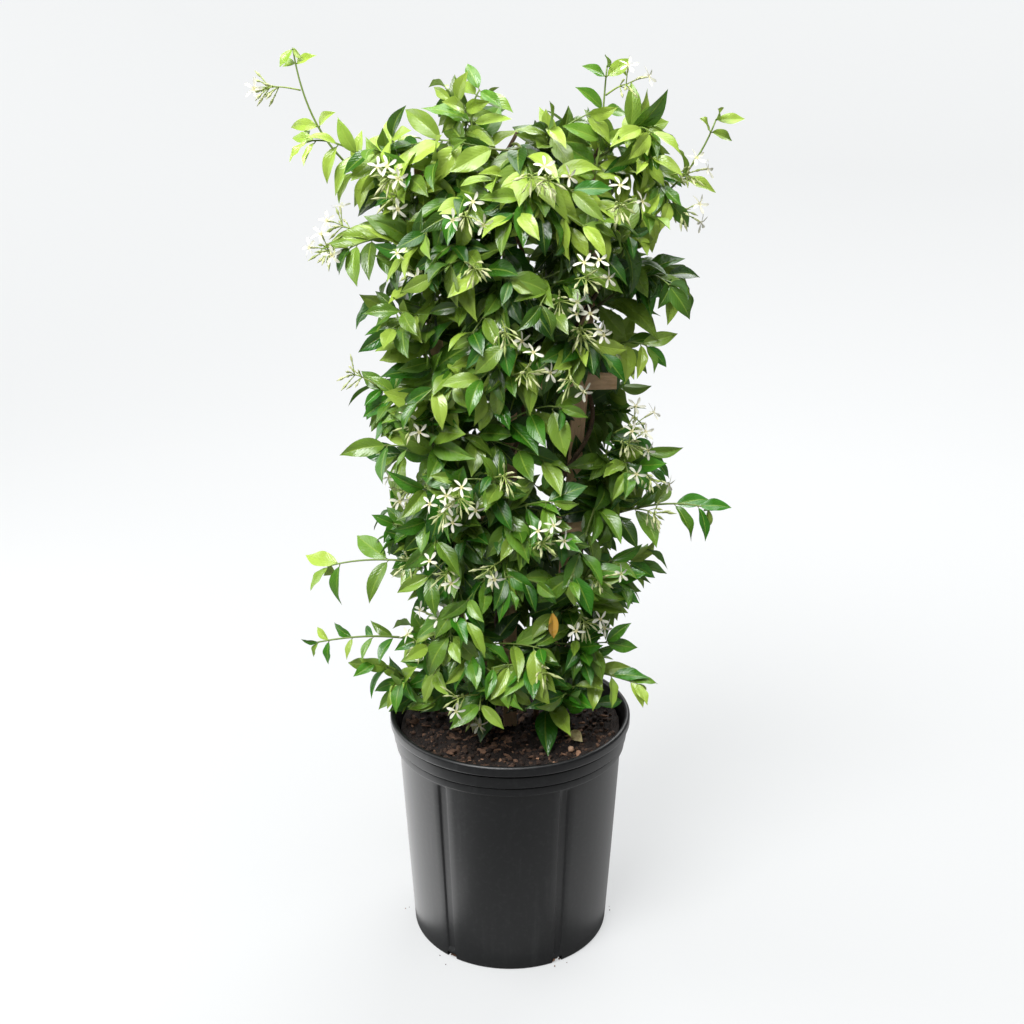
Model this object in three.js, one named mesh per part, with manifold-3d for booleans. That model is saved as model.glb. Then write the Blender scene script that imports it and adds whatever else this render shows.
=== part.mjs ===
// Star jasmine (Trachelospermum jasminoides) in flower, trained on a slatted wooden trellis in a black
// nursery pot. Millimetres, +Z up, front towards -Y. The origin is the centre of the pot's base.
import * as THREE from "three";
import { mergeVertices } from "three/addons/utils/BufferGeometryUtils.js";
import Module from "manifold-3d";

const wasm = await Module();
wasm.setup();

const SEAT = 0.3; // free play between two pieces that touch
const TURN = 2 * Math.PI;
const DEGREE = Math.PI / 180;
const UP = new THREE.Vector3(0, 0, 1);
const FRONT = new THREE.Vector3(0, -1, 0);

// ---- driving dimensions ----
const POT = {
  height: 281,
  lipRadius: 142.5,
  bandRadius: 138.6,
  ringRadius: 136.4,
  bodyTopRadius: 132,
  baseRadius: 118.5,
  floor: 3,
  wall: 2.4,
};
const FLUTE = { depth: 2.6, outerHalf: 2.9 * DEGREE, innerHalf: 2 * DEGREE, bottom: 11, top: 240 };
const FLUTE_ANGLES = [-35.6, 28, 87, 146, 205.5, 265].map((a) => a * DEGREE); // from the front, towards +X
const DRAIN = { width: 13, height: 7.5, reach: 16 };
const SOIL = { top: 257, clear: 4.2, relief: 3.2, rings: [1, 0.75, 0.45], segments: 24 };
const STAKE = { width: 16, depth: 8, top: 905, bottom: 112, footSpread: 52, topSpread: 92 };
const SLAT = { first: 351, pitch: 164.5, count: 4, height: 18, depth: 6, firstHalf: 106, growth: 5 };
const VINE = {
  bottom: 190,
  radius: 3.6,
  tipRadius: 2,
  swingX: 15.5,
  swingY: 13.5,
  trainedFrom: 264,
  trainedTo: 338,
  sides: 4,
  steps: 26,
};
const VINES = [
  { name: "vine_left", side: -1, foot: [-27, 20], top: 925 },
  { name: "vine_centre", side: 0, foot: [4, 22], top: 940 },
  { name: "vine_right", side: 1, foot: [31, 19], top: 928 },
];
const SHOOT = { radius: 1.7, tipRadius: 1.3, sides: 3, steps: 6 };
const BLADE = { thickness: 0.6, sag: 0.22, margin: 0.4 };

// ---- seeded draws ----
function drawsFrom(seed) {
  let state = seed >>> 0;
  return () => {
    state = (state + 0x6d2b79f5) >>> 0;
    let t = state;
    t = Math.imul(t ^ (t >>> 15), t | 1);
    t ^= t + Math.imul(t ^ (t >>> 7), t | 61);
    return ((t ^ (t >>> 14)) >>> 0) / 4294967296;
  };
}
const spread = (draw, amount) => (2 * draw() - 1) * amount;

// ---- small helpers ----
const at = (x, y, z) => new THREE.Vector3(x, y, z);
const mix = (a, b, t) => a + (b - a) * t;
const smooth = (low, high, value) => {
  const t = Math.min(1, Math.max(0, (value - low) / (high - low)));
  return t * t * (3 - 2 * t);
};
const along = (origin, ...steps) =>
  steps.reduce((p, [direction, amount]) => p.addScaledVector(direction, amount), origin.clone());

function bezier(p0, p1, p2, p3) {
  return (t) => {
    const s = 1 - t;
    return along(at(0, 0, 0), [p0, s * s * s], [p1, 3 * s * s * t], [p2, 3 * s * t * t], [p3, t * t * t]);
  };
}

// The same path as the straight pieces that a stem of so many steps is made of.
function chordOf(path, steps) {
  return (t) => {
    const k = Math.min(steps - 1, Math.floor(t * steps));
    return path(k / steps).lerp(path((k + 1) / steps), t * steps - k);
  };
}

function tangentOf(path, t) {
  const step = 0.01;
  return path(Math.min(1, t + step)).sub(path(Math.max(0, t - step))).normalize();
}

function geometryOf(corners, faces) {
  const geometry = new THREE.BufferGeometry();
  const numbers = corners.flatMap((corner) => corner.toArray());
  geometry.setAttribute("position", new THREE.Float32BufferAttribute(numbers, 3));
  geometry.setIndex(faces.flat());
  return geometry;
}

// ---- solids ----
function solidOf(geometry) {
  const bare = geometry.clone();
  bare.deleteAttribute("normal");
  bare.deleteAttribute("uv");
  const merged = mergeVertices(bare, 1e-4);
  return new wasm.Manifold(
    new wasm.Mesh({
      numProp: 3,
      vertProperties: new Float32Array(merged.attributes.position.array),
      triVerts: new Uint32Array(merged.index.array),
    }),
  );
}

function geometryFrom(solid) {
  const mesh = solid.getMesh();
  const geometry = new THREE.BufferGeometry();
  geometry.setAttribute("position", new THREE.BufferAttribute(Float32Array.from(mesh.vertProperties), 3));
  geometry.setIndex(new THREE.BufferAttribute(Uint32Array.from(mesh.triVerts), 1));
  geometry.computeVertexNormals();
  return geometry;
}

const fused = (geometries) => geometries.map(solidOf).reduce((whole, next) => whole.add(next));

// Whether a join left no triangle thinner than the least height that a seam may have.
const LEAST_HEIGHT = 0.004;

function hasCleanSeams(solid) {
  const { vertProperties, triVerts } = solid.getMesh();
  const corner = (k) => new THREE.Vector3().fromArray(vertProperties, 3 * triVerts[k]);
  for (let k = 0; k < triVerts.length; k += 3) {
    const [a, b, c] = [corner(k), corner(k + 1), corner(k + 2)];
    const longest = Math.max(a.distanceTo(b), b.distanceTo(c), c.distanceTo(a));
    const doubleArea = b.clone().sub(a).cross(c.clone().sub(a)).length();
    if (doubleArea / longest < LEAST_HEIGHT) return false;
  }
  return true;
}

// A tube of few sides along a path, flat at its start and drawn to a point at its end.
function stemGeometry(path, radiusAt, sides, steps, grow = 0) {
  const corners = [];
  const faces = [];
  let across = null;
  for (let k = 0; k < steps; k++) {
    const t = k / steps;
    const tangent = tangentOf(path, t);
    if (!across) across = (Math.abs(tangent.z) > 0.9 ? at(1, 0, 0) : UP.clone()).cross(tangent);
    across.addScaledVector(tangent, -across.dot(tangent)).normalize();
    const third = tangent.clone().cross(across);
    const radius = radiusAt(t) + grow;
    for (let s = 0; s < sides; s++) {
      const angle = (s / sides) * TURN;
      corners.push(along(path(t), [across, Math.cos(angle) * radius], [third, Math.sin(angle) * radius]));
    }
  }
  const tip = corners.length;
  corners.push(along(path(1), [tangentOf(path, 1), grow]));
  for (let s = 1; s < sides - 1; s++) faces.push([0, s + 1, s]);
  for (let k = 0; k < steps - 1; k++)
    for (let s = 0; s < sides; s++) {
      const a = k * sides + s;
      const b = k * sides + ((s + 1) % sides);
      faces.push([a, b, b + sides], [a, b + sides, a + sides]);
    }
  for (let s = 0; s < sides; s++) faces.push([tip - sides + s, tip - sides + ((s + 1) % sides), tip]);
  return geometryOf(corners, faces);
}

// A leaf blade: a kite outline of even thickness that bends down at its widest point.
const BLADE_OUTLINE = [
  [0, 0],
  [0.45, 1],
  [1, 0],
  [0.45, -1],
];
const BLADE_FACES = [
  [0, 3, 1],
  [1, 3, 2],
  [4, 5, 7],
  [5, 6, 7],
  ...BLADE_OUTLINE.flatMap((_, k) => {
    const next = (k + 1) % BLADE_OUTLINE.length;
    const under = BLADE_OUTLINE.length;
    return [
      [k, next, next + under],
      [k, next + under, k + under],
    ];
  }),
];

function bladeGeometry(leaf, grow = 0) {
  const side = leaf.normal.clone().cross(leaf.direction);
  const place = (u, w, lift) => {
    const half = (leaf.width / 2) * Math.abs(w) + (w ? grow : 0);
    const reach = u * leaf.length + (u === 1 ? grow : 0);
    const drop = leaf.sag * leaf.length * u * u;
    return along(
      leaf.base,
      [leaf.direction, reach],
      [leaf.normal, lift - drop],
      [side, Math.sign(w) * half],
    );
  };
  const half = BLADE.thickness / 2 + grow;
  return geometryOf(
    [half, -half].flatMap((lift) => BLADE_OUTLINE.map(([u, w]) => place(u, w, lift))),
    BLADE_FACES,
  );
}

// ---- whether two surfaces cross ----
function surfaceOf(geometry) {
  const flat = (geometry.index ? geometry.toNonIndexed() : geometry).attributes.position.array;
  const triangles = [];
  const box = new THREE.Box3();
  for (let i = 0; i < flat.length; i += 9) {
    const corners = [0, 3, 6].map((k) => at(flat[i + k], flat[i + k + 1], flat[i + k + 2]));
    const bounds = new THREE.Box3().setFromPoints(corners);
    triangles.push({ corners, bounds });
    box.union(bounds);
  }
  return { triangles, box };
}

const ray = new THREE.Ray();
const hit = new THREE.Vector3();
function edgeMeets([a, b, c], [p, q, r]) {
  for (const [from, to] of [
    [a, b],
    [b, c],
    [c, a],
  ]) {
    ray.origin.copy(from);
    ray.direction.copy(to).sub(from);
    const length = ray.direction.length();
    ray.direction.divideScalar(length);
    if (ray.intersectTriangle(p, q, r, false, hit) && hit.distanceTo(from) <= length) return true;
  }
  return false;
}

function crosses(one, other) {
  if (!one.box.intersectsBox(other.box)) return false;
  const near = other.triangles.filter((t) => t.bounds.intersectsBox(one.box));
  return one.triangles.some(
    (t) =>
      t.bounds.intersectsBox(other.box) &&
      near.some(
        (n) =>
          t.bounds.intersectsBox(n.bounds) &&
          (edgeMeets(t.corners, n.corners) || edgeMeets(n.corners, t.corners)),
      ),
  );
}

// Everything placed so far, each with the node it belongs to.
const placed = [];
const place = (geometry, owner) => placed.push({ ...surfaceOf(geometry), owner });
const isClear = (geometry, mayTouch = []) => {
  const surface = surfaceOf(geometry);
  return !placed.some((p) => !mayTouch.includes(p.owner) && crosses(surface, p));
};

// ---- pot: one moulded shell with a rolled lip, two rings, six flutes and a drain hole under each ----
function potRadius(z) {
  return mix(POT.baseRadius, POT.bodyTopRadius, z / FLUTE.top);
}

function potGeometry() {
  const { height: top, wall } = POT;
  const profile = [
    [0, 0],
    [POT.baseRadius - 3, 0],
    [potRadius(FLUTE.bottom), FLUTE.bottom],
    [potRadius(FLUTE.bottom + 4), FLUTE.bottom + 4],
    [potRadius(FLUTE.top - 4), FLUTE.top - 4],
    [POT.bodyTopRadius, FLUTE.top + 1],
    [POT.ringRadius, FLUTE.top + 3],
    [POT.ringRadius, FLUTE.top + 11],
    [POT.bandRadius, FLUTE.top + 13],
    [POT.bandRadius, top - 14],
    [POT.lipRadius, top - 12],
    [POT.lipRadius, top - 3],
    [POT.lipRadius - 3, top],
    [POT.lipRadius - 6, top - 2],
    [potRadius(FLUTE.top - 4) - wall, FLUTE.top - 4],
    [potRadius(FLUTE.bottom + 4) - wall, FLUTE.bottom + 4],
    [potRadius(FLUTE.bottom) - wall, FLUTE.bottom - 2],
    [POT.baseRadius - wall - 4, POT.floor],
    [0, POT.floor],
  ].map(([r, z]) => new THREE.Vector2(r, z));
  const perFlute = 7;
  const gapSteps = 3;
  const segments = FLUTE_ANGLES.length * perFlute;
  const geometry = new THREE.LatheGeometry(profile, segments);
  const position = geometry.attributes.position;
  const flutedLow = FLUTE.bottom + 2;
  const flutedHigh = FLUTE.top - 2;
  for (let i = 0; i < position.count; i++) {
    const column = Math.floor(i / profile.length) % segments;
    const flute = Math.floor(column / perFlute);
    const step = column % perFlute;
    const centre = FLUTE_ANGLES[flute];
    const next = FLUTE_ANGLES[flute + 1] ?? FLUTE_ANGLES[0] + TURN;
    const edges = [-FLUTE.outerHalf, -FLUTE.innerHalf, FLUTE.innerHalf, FLUTE.outerHalf];
    const gap = next - centre - 2 * FLUTE.outerHalf;
    const angle =
      centre + (step < 4 ? edges[step] : FLUTE.outerHalf + (gap * (step - 3)) / (gapSteps + 1));
    const { x: r, y: z } = profile[i % profile.length];
    const sunk = (step === 1 || step === 2) && z > flutedLow && z < flutedHigh ? FLUTE.depth : 0;
    position.setXYZ(i, Math.sin(angle) * (r ? r - sunk : 0), -Math.cos(angle) * (r ? r - sunk : 0), z);
  }
  const shell = solidOf(geometry);
  const drains = FLUTE_ANGLES.map((angle) => {
    const drain = new THREE.BoxGeometry(DRAIN.width, DRAIN.reach, 2 * DRAIN.height);
    drain.translate(0, -POT.baseRadius + 2, 0);
    drain.rotateZ(angle);
    return solidOf(drain);
  });
  return geometryFrom(drains.reduce((pot, drain) => pot.subtract(drain), shell));
}

// ---- trellis: three stakes that spread upwards, and four slats nailed across their front ----
function stakeX(side, z) {
  return side * mix(STAKE.footSpread, STAKE.topSpread, (z - SOIL.top) / (STAKE.top - SOIL.top));
}

function stakeGeometry(side, grow = 0) {
  const length = STAKE.top - STAKE.bottom;
  const geometry = new THREE.BoxGeometry(STAKE.width + 2 * grow, STAKE.depth + 2 * grow, length + 2 * grow);
  const lean = Math.atan2(stakeX(side, STAKE.top) - stakeX(side, STAKE.bottom), length);
  geometry.rotateY(lean);
  const middle = (STAKE.top + STAKE.bottom) / 2;
  return geometry.translate(stakeX(side, middle), 0, middle);
}

const slatHeight = (k) => SLAT.first + k * SLAT.pitch;

function slatGeometry(k) {
  const geometry = new THREE.BoxGeometry(2 * (SLAT.firstHalf + k * SLAT.growth), SLAT.depth, SLAT.height);
  return geometry.translate(0, -(STAKE.depth + SLAT.depth) / 2 - SEAT, slatHeight(k));
}

// ---- vines: woody stems that lean to a stake, then twine round it, passing behind every slat ----
function vinePath({ side, foot, top }) {
  return (t) => {
    const z = mix(VINE.bottom, top, t);
    const turn = Math.PI / 2 + (TURN * Math.max(0, z - SLAT.first)) / SLAT.pitch;
    const trained = smooth(VINE.trainedFrom, VINE.trainedTo, z);
    return at(
      mix(foot[0], stakeX(side, z) + VINE.swingX * Math.cos(turn), trained),
      mix(foot[1], VINE.swingY * Math.sin(turn), trained),
      z,
    );
  };
}

const vineRadius = (t) => mix(VINE.radius, VINE.tipRadius, t);
const vineGeometry = (vine, grow = 0) =>
  stemGeometry(vinePath(vine), vineRadius, VINE.sides, VINE.steps, grow);

// ---- soil: fills the pot, with a crumbly top and a plain hole for each stake and vine ----
function soilGeometry() {
  const radiusAtTop = potRadius(SOIL.top) - POT.wall - SOIL.clear;
  const radiusAtFloor = POT.baseRadius - POT.wall - SOIL.clear - 3;
  const bottom = POT.floor + SEAT;
  const profile = [
    [0, bottom],
    [radiusAtFloor, bottom],
    ...SOIL.rings.map((share) => [radiusAtTop * share, SOIL.top]),
    [0, SOIL.top],
  ].map(([r, z]) => new THREE.Vector2(r, z));
  const geometry = new THREE.LatheGeometry(profile, SOIL.segments).rotateX(Math.PI / 2);
  const position = geometry.attributes.position;
  for (let i = 0; i < position.count; i++) {
    if (position.getZ(i) < SOIL.top - 1) continue;
    const x = position.getX(i);
    const y = position.getY(i);
    const lumps = Math.sin(x * 0.11 + 1.3) * Math.cos(y * 0.13) + 0.6 * Math.sin(x * 0.31 - y * 0.27);
    position.setZ(i, SOIL.top + SOIL.relief * lumps);
  }
  const holes = [
    ...VINES.map((vine) => vineGeometry(vine, SEAT)),
    ...[-1, 0, 1].map((side) => stakeGeometry(side, SEAT)),
  ];
  return geometryFrom(holes.reduce((soil, hole) => soil.subtract(solidOf(hole)), solidOf(geometry)));
}

// ---- shoots: where each leafy side stem leaves its vine and where it reaches ----
// The hedge-like outline of the leafy stems: height, reach to the left and right, and depth to front or back.
const OUTLINE = [
  { z: 300, left: 112, right: 100, depth: 84 },
  { z: 420, left: 104, right: 100, depth: 92 },
  { z: 545, left: 108, right: 116, depth: 98 },
  { z: 680, left: 126, right: 112, depth: 100 },
  { z: 800, left: 132, right: 122, depth: 104 },
  { z: 880, left: 140, right: 132, depth: 104 },
  { z: 940, left: 118, right: 118, depth: 82 },
];

function outlineAt(z) {
  const k = Math.max(1, OUTLINE.findIndex((level) => level.z >= z));
  const [low, high] = [OUTLINE[k - 1], OUTLINE[k]];
  const t = (z - low.z) / (high.z - low.z);
  return {
    left: mix(low.left, high.left, t),
    right: mix(low.right, high.right, t),
    depth: mix(low.depth, high.depth, t),
  };
}

const GENERAL_SHOOTS = 22;
const GOLDEN = 0.618034;
const PHASE = 0.8;

// The general shoots fork once, into a gap between the stems, where they find a clear way: how far along
// the stem the fork starts, and where it reaches.
const FORKS = [
  [0.6, 71, 69, 385],
  [0.45, -58, 77, 527],
  [0.6, 33, -81, 398],
  [0.6, 75, -48, 394],
  [0.45, -64, -90, 409],
  [0.3, 139, 37, 450],
  [0.6, -123, -4, 596],
  [0.45, 52, -83, 670],
  [0.3, 4, 112, 623],
  [0.3, 47, -93, 572],
  [0.5, 63, -92, 480],
  [0.3, 42, 89, 823],
  [0.45, 46, -62, 601],
  [0.3, 25, -66, 716],
  [0.6, 119, -60, 844],
  [0.45, -136, 3, 770],
  [0.3, 135, 69, 633],
  [0.3, -16, 72, 734],
  [0.45, 117, -36, 873],
  [0.3, -93, -38, 926],
  [0.3, 10, -98, 804],
  [0.3, -28, -8, 891],
];

// The tips climb evenly, step across by the golden ratio, and take the front and the back by turns.
function generalShoot(i) {
  const draw = drawsFrom(1400 + i);
  const z = mix(322, 952, (i + 0.5) / GENERAL_SHOOTS);
  const { left, right, depth } = outlineAt(z);
  const even = 2 * ((i * GOLDEN + PHASE) % 1) - 1;
  const share = Math.sign(even) * Math.abs(even) ** 0.6;
  const face = i % 5 === 1 || i % 5 === 3 ? 1 : -1;
  const x = share * (share < 0 ? left : right);
  const y = face * depth * Math.sqrt(1 - share * share) * mix(0.75, 1, draw());
  const outward = at(x / 140, y / 100, 0).normalize();
  const sideways = at(-outward.y, outward.x, 0);
  const climb = draw() < 0.35 ? -1 : 1;
  const swerve = spread(draw, 0.7);
  const lift = climb * mix(0.3, 1, draw());
  const end = along(at(0, 0, 0), [outward, 0.35], [sideways, swerve], [UP, lift]);
  const [forkAt, ...forkTip] = FORKS[i];
  return {
    vine: x < -45 ? 0 : x > 45 ? 2 : 1,
    tip: at(x, y, z),
    end: end.normalize(),
    rise: climb * mix(70, 150, draw()),
    pairs: 5,
    fork: { at: forkAt, tip: at(...forkTip) },
    flowers: face < 0 && i % 3 > 0,
    leaf: mix(62, 71, draw()),
    youth: smooth(780, 960, z) * 0.5,
    seed: 2000 + i * 40,
  };
}

// Shoots that stand out of the mass, each with a place and a bend of its own.
const LONE_SHOOTS = [
  { vine: 0, tip: at(-217, -12, 1024), end: at(-0.1, 0, 1), rise: 150, pairs: 3, leaf: 42, youth: 0.9 },
  { vine: 0, tip: at(-206, -26, 932), end: at(-0.9, -0.1, -0.15), rise: 40, pairs: 4, leaf: 50, youth: 0.6 },
  { vine: 2, tip: at(98, -10, 1006), end: at(0.1, 0, 1), rise: 120, pairs: 4, leaf: 50, youth: 0.8 },
  { vine: 2, tip: at(210, -14, 955), end: at(0.3, 0, 0.9), rise: 110, pairs: 3, leaf: 54, youth: 0.7 },
  { vine: 1, tip: at(-30, -12, 982), end: at(0.5, -0.1, 0.7), rise: 70, pairs: 3, leaf: 60, youth: 0.7 },
  { vine: 0, tip: at(-166, -30, 826), end: at(-0.8, -0.2, -0.4), rise: 10, pairs: 5, leaf: 62, youth: 0.3 },
  { vine: 2, tip: at(172, -30, 796), end: at(0.9, -0.1, -0.3), rise: 40, pairs: 3, leaf: 70, youth: 0.1 },
  { vine: 2, tip: at(146, -22, 722), end: at(0.75, -0.2, -0.3), rise: 30, pairs: 4, leaf: 58, youth: 0.2 },
  { vine: 2, tip: at(222, -24, 540), end: at(0.95, -0.1, -0.2), rise: 30, pairs: 5, leaf: 54, youth: 0.1 },
  { vine: 0, tip: at(-204, -38, 476), end: at(-0.95, -0.1, -0.25), rise: 10, pairs: 3, leaf: 66, youth: 0.4 },
  { vine: 0, tip: at(-222, -26, 378), end: at(-0.95, 0, -0.2), rise: 20, pairs: 5, leaf: 40, youth: 0.3 },
  { vine: 2, tip: at(146, -50, 338), end: at(0.95, -0.2, -0.2), rise: 30, pairs: 4, leaf: 54, youth: 0.3 },
  { vine: 1, tip: at(-34, -104, 330), end: at(-0.1, -0.8, -0.45), rise: 50, pairs: 4, leaf: 62, youth: 0.4 },
].map((shoot, i) => ({
  ...shoot,
  end: shoot.end.normalize(),
  fork: null,
  flowers: [0, 2, 5, 12].includes(i),
  seed: 5000 + i * 40,
}));

const SHOOTS = [...LONE_SHOOTS, ...Array.from({ length: GENERAL_SHOOTS }, (_, i) => generalShoot(i))];

// The side stem leaves the vine outwards, climbs, and turns to its end direction at the tip. Later tries
// leave the vine to one side of that way, and a little higher or lower.
const TRIES = 24;
const SHOOT_TRIES = 36;
const HEAD_TRIES = 200;
const tryOffset = (k, step) => (k % 2 ? 1 : -1) * Math.ceil(k / 2) * step;

function shootPath(shoot, k) {
  const vine = VINES[shoot.vine];
  const path = vinePath(vine);
  const wanted = shoot.tip.z - shoot.rise + tryOffset(Math.floor(k / 3), 11);
  const height = Math.min(vine.top - 12, Math.max(SOIL.top + 22, wanted));
  const t = (height - VINE.bottom) / (vine.top - VINE.bottom);
  const axis = chordOf(path, VINE.steps)(t);
  const outward = shoot.tip.clone().sub(axis).setZ(0).normalize();
  const aside = UP.clone().cross(outward);
  const leaving = along(outward, [aside, [0, 1, -1][k % 3]]).normalize();
  const start = along(axis, [leaving, vineRadius(t) + 1.3]);
  const reach = start.distanceTo(shoot.tip);
  return bezier(
    start,
    along(start, [leaving, 0.36 * reach], [UP, 0.1 * reach]),
    along(shoot.tip, [shoot.end, -0.42 * reach]),
    shoot.tip,
  );
}

const shootRadius = (t) => mix(SHOOT.radius, SHOOT.tipRadius, t);
const shootGeometry = (path, grow = 0) =>
  stemGeometry(path, shootRadius, SHOOT.sides, SHOOT.steps, grow);

// The fork leaves between the stem's own way and its tip's. Later tries reach a little aside.
const FORK = { radius: 1.4, tipRadius: 1.2, steps: 3, stray: 3 };
const FORK_SPOTS = [
  { t: 0.56, turn: 0.3, size: 0.95 },
  { t: 0.94, turn: 0.1, size: 0.88 },
];

function forkPath({ fork, seed }, path, k) {
  const draw = drawsFrom(seed + 17 + k * 7919);
  const amount = FORK.stray + k;
  const start = chordOf(path, SHOOT.steps)(fork.at);
  const tip = fork.tip.clone().add(at(spread(draw, amount), spread(draw, amount), spread(draw, amount)));
  const reach = start.distanceTo(tip);
  const straight = tip.clone().sub(start).normalize();
  const leaving = straight.clone().add(tangentOf(path, fork.at)).normalize();
  return bezier(
    start,
    along(start, [leaving, 0.33 * reach]),
    along(tip, [straight, -0.33 * reach], [UP, mix(0, 0.16, draw()) * reach]),
    tip,
  );
}

const forkRadius = (t) => mix(FORK.radius, FORK.tipRadius, t);
const forkGeometry = (path, grow = 0) => stemGeometry(path, forkRadius, SHOOT.sides, FORK.steps, grow);

// ---- leaves: opposite pairs, turned to the light and hanging a little ----
const LAST_PAIR = 0.92;

// One leaf of a pair. side is 1 or -1, k the number of the try: later tries swing the leaf further.
function leafAt(shoot, path, steps, spot, side, seed, k) {
  const draw = drawsFrom(seed + k * 7919);
  const base = chordOf(path, steps)(spot.t);
  const tangent = tangentOf(path, spot.t);
  const light = at(base.x / 260, base.y < 12 ? -0.7 : 0.7, 0.6).normalize();
  const flat = light.clone().cross(tangent).normalize();
  const swing = spot.turn + spread(draw, 0.35 + 0.06 * k);
  const aside = along(at(0, 0, 0), [flat, side * Math.cos(swing)], [light, Math.sin(swing)]);
  const forward = mix(0.35, 0.85, draw());
  const direction = along(at(0, 0, 0), [aside, 1], [tangent, forward], [UP, -mix(0.25, 0.75, draw())]);
  direction.normalize();
  const normal = along(light, [tangent, spread(draw, 0.25)], [flat, spread(draw, 0.35)]);
  normal.addScaledVector(direction, -normal.dot(direction)).normalize();
  const length = shoot.leaf * spot.size * mix(0.88, 1.08, draw());
  return {
    base,
    direction,
    normal,
    length,
    width: length * mix(0.5, 0.58, draw()),
    sag: BLADE.sag * mix(0.3, 1.5, draw()),
  };
}

function leafSpots(shoot) {
  const spots = [];
  const first = shoot.fork ? 0.42 : 0.3;
  for (let k = 0; k < shoot.pairs; k++) {
    const share = k / (shoot.pairs - 1);
    spots.push({ t: mix(first, LAST_PAIR, share), turn: k % 2 ? 0.5 : 0.05, size: mix(1.06, 0.74, share) });
  }
  return spots;
}

// ---- flowers: loose heads of five-petalled pinwheels and long buds at the ends of the shoots ----
const CYME = { stalk: 34, pedicel: 24, radius: 0.9, flower: 25, petal: 0.9, budRadius: 1.7 };
const HEAD_AT = 0.8;

function starGeometry(centre, facing, spin, grow = 0) {
  const across = (Math.abs(facing.z) > 0.9 ? at(1, 0, 0) : UP.clone()).cross(facing).normalize();
  const third = facing.clone().cross(across);
  const petals = 5;
  const corners = [];
  for (const lift of [CYME.petal / 2 + grow, -CYME.petal / 2 - grow]) {
    for (let k = 0; k < 2 * petals; k++) {
      const tip = k % 2 === 0;
      const angle = spin + ((k + (tip ? 0.5 : 0)) / (2 * petals)) * TURN;
      const radius = (tip ? CYME.flower / 2 : CYME.flower * 0.2) + grow;
      corners.push(
        along(
          centre,
          [across, Math.cos(angle) * radius],
          [third, Math.sin(angle) * radius],
          [facing, lift + (tip ? 1.2 : 0)],
        ),
      );
    }
    corners.push(along(centre, [facing, lift]));
  }
  const ring = 2 * petals;
  const under = ring + 1;
  const faces = [];
  for (let k = 0; k < ring; k++) {
    const next = (k + 1) % ring;
    faces.push([ring, k, next], [ring + under, next + under, k + under]);
    faces.push([k, k + under, next + under], [k, next + under, next]);
  }
  return geometryOf(corners, faces);
}

// All the pieces of one flower head, as a list of geometries that are fused later.
function headGeometries(head, k, grow = 0) {
  const draw = drawsFrom(head.seed + k * 7919);
  const lift = spread(draw, 0.7);
  const swerve = spread(draw, 0.9);
  const direction = along(head.outward, [UP, lift + 0.1], [head.aside, swerve], [FRONT, 0.35]).normalize();
  const start = along(head.base, [direction, 2.5]);
  const end = along(start, [direction, CYME.stalk], [UP, -5]);
  const stalk = bezier(start, along(start, [direction, 12]), along(start, [direction, 24]), end);
  const pieces = [stemGeometry(stalk, () => CYME.radius, 3, 2, grow)];
  const across = UP.clone().cross(direction).normalize();
  const third = direction.clone().cross(across);
  const root = stalk(0.92);
  for (let p = 0; p < head.stars + head.buds; p++) {
    const angle = (p / (head.stars + head.buds)) * TURN + spread(draw, 0.4);
    const lean = along(
      at(0, 0, 0),
      [direction, 0.75],
      [across, 0.8 * Math.cos(angle)],
      [third, 0.8 * Math.sin(angle)],
      [UP, -0.15],
    ).normalize();
    const reach = CYME.pedicel * mix(0.8, 1.1, draw());
    const tip = along(root, [lean, reach]);
    const bend = along(root, [lean, reach * 0.5], [UP, 1.5]);
    const pedicel = bezier(root, bend, bend, tip);
    if (p < head.stars) {
      pieces.push(stemGeometry(pedicel, (t) => mix(0.8, 1.1, t), 3, 2, grow));
      const facing = along(lean, [FRONT, 0.7], [UP, 0.18]).normalize();
      pieces.push(starGeometry(along(tip, [facing, -0.2]), facing, draw() * TURN, grow));
    } else {
      const swell = (t) => (t < 0.3 ? 0.8 : t < 0.6 ? CYME.budRadius : 1);
      pieces.push(stemGeometry(pedicel, swell, 3, 3, grow));
    }
  }
  return pieces;
}

// ---- assembly ----
const MATERIALS = {
  pot: new THREE.MeshStandardMaterial({ color: 0x24272a, roughness: 0.42, metalness: 0 }),
  soil: new THREE.MeshStandardMaterial({ color: 0x2a1c12, roughness: 0.95, metalness: 0 }),
  wood: new THREE.MeshStandardMaterial({ color: 0x7d5640, roughness: 0.8, metalness: 0 }),
  bark: new THREE.MeshStandardMaterial({ color: 0x4a3527, roughness: 0.8, metalness: 0 }),
  leaf: new THREE.MeshStandardMaterial({ color: 0x3f7a1e, roughness: 0.4, metalness: 0 }),
  young: new THREE.MeshStandardMaterial({ color: 0x86ac35, roughness: 0.45, metalness: 0 }),
  flower: new THREE.MeshStandardMaterial({ color: 0xf3f0dc, roughness: 0.6, metalness: 0 }),
};

const plant = new THREE.Group();
const number = (k) => String(k + 1).padStart(2, "0");

function addNode(name, geometry, material) {
  const mesh = new THREE.Mesh(geometry, material);
  mesh.name = name;
  plant.add(mesh);
  return geometry;
}

const pot = addNode("pot", potGeometry(), MATERIALS.pot);
place(pot, "pot");
place(addNode("soil", soilGeometry(), MATERIALS.soil), "soil");
for (const [name, side] of [
  ["stake_left", -1],
  ["stake_centre", 0],
  ["stake_right", 1],
])
  place(addNode(name, stakeGeometry(side), MATERIALS.wood), name);
for (let k = 0; k < SLAT.count; k++)
  place(addNode(`slat_${number(k)}`, slatGeometry(k), MATERIALS.wood), `slat_${number(k)}`);
for (const vine of VINES) place(addNode(vine.name, vineGeometry(vine), MATERIALS.bark), vine.name);

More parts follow.
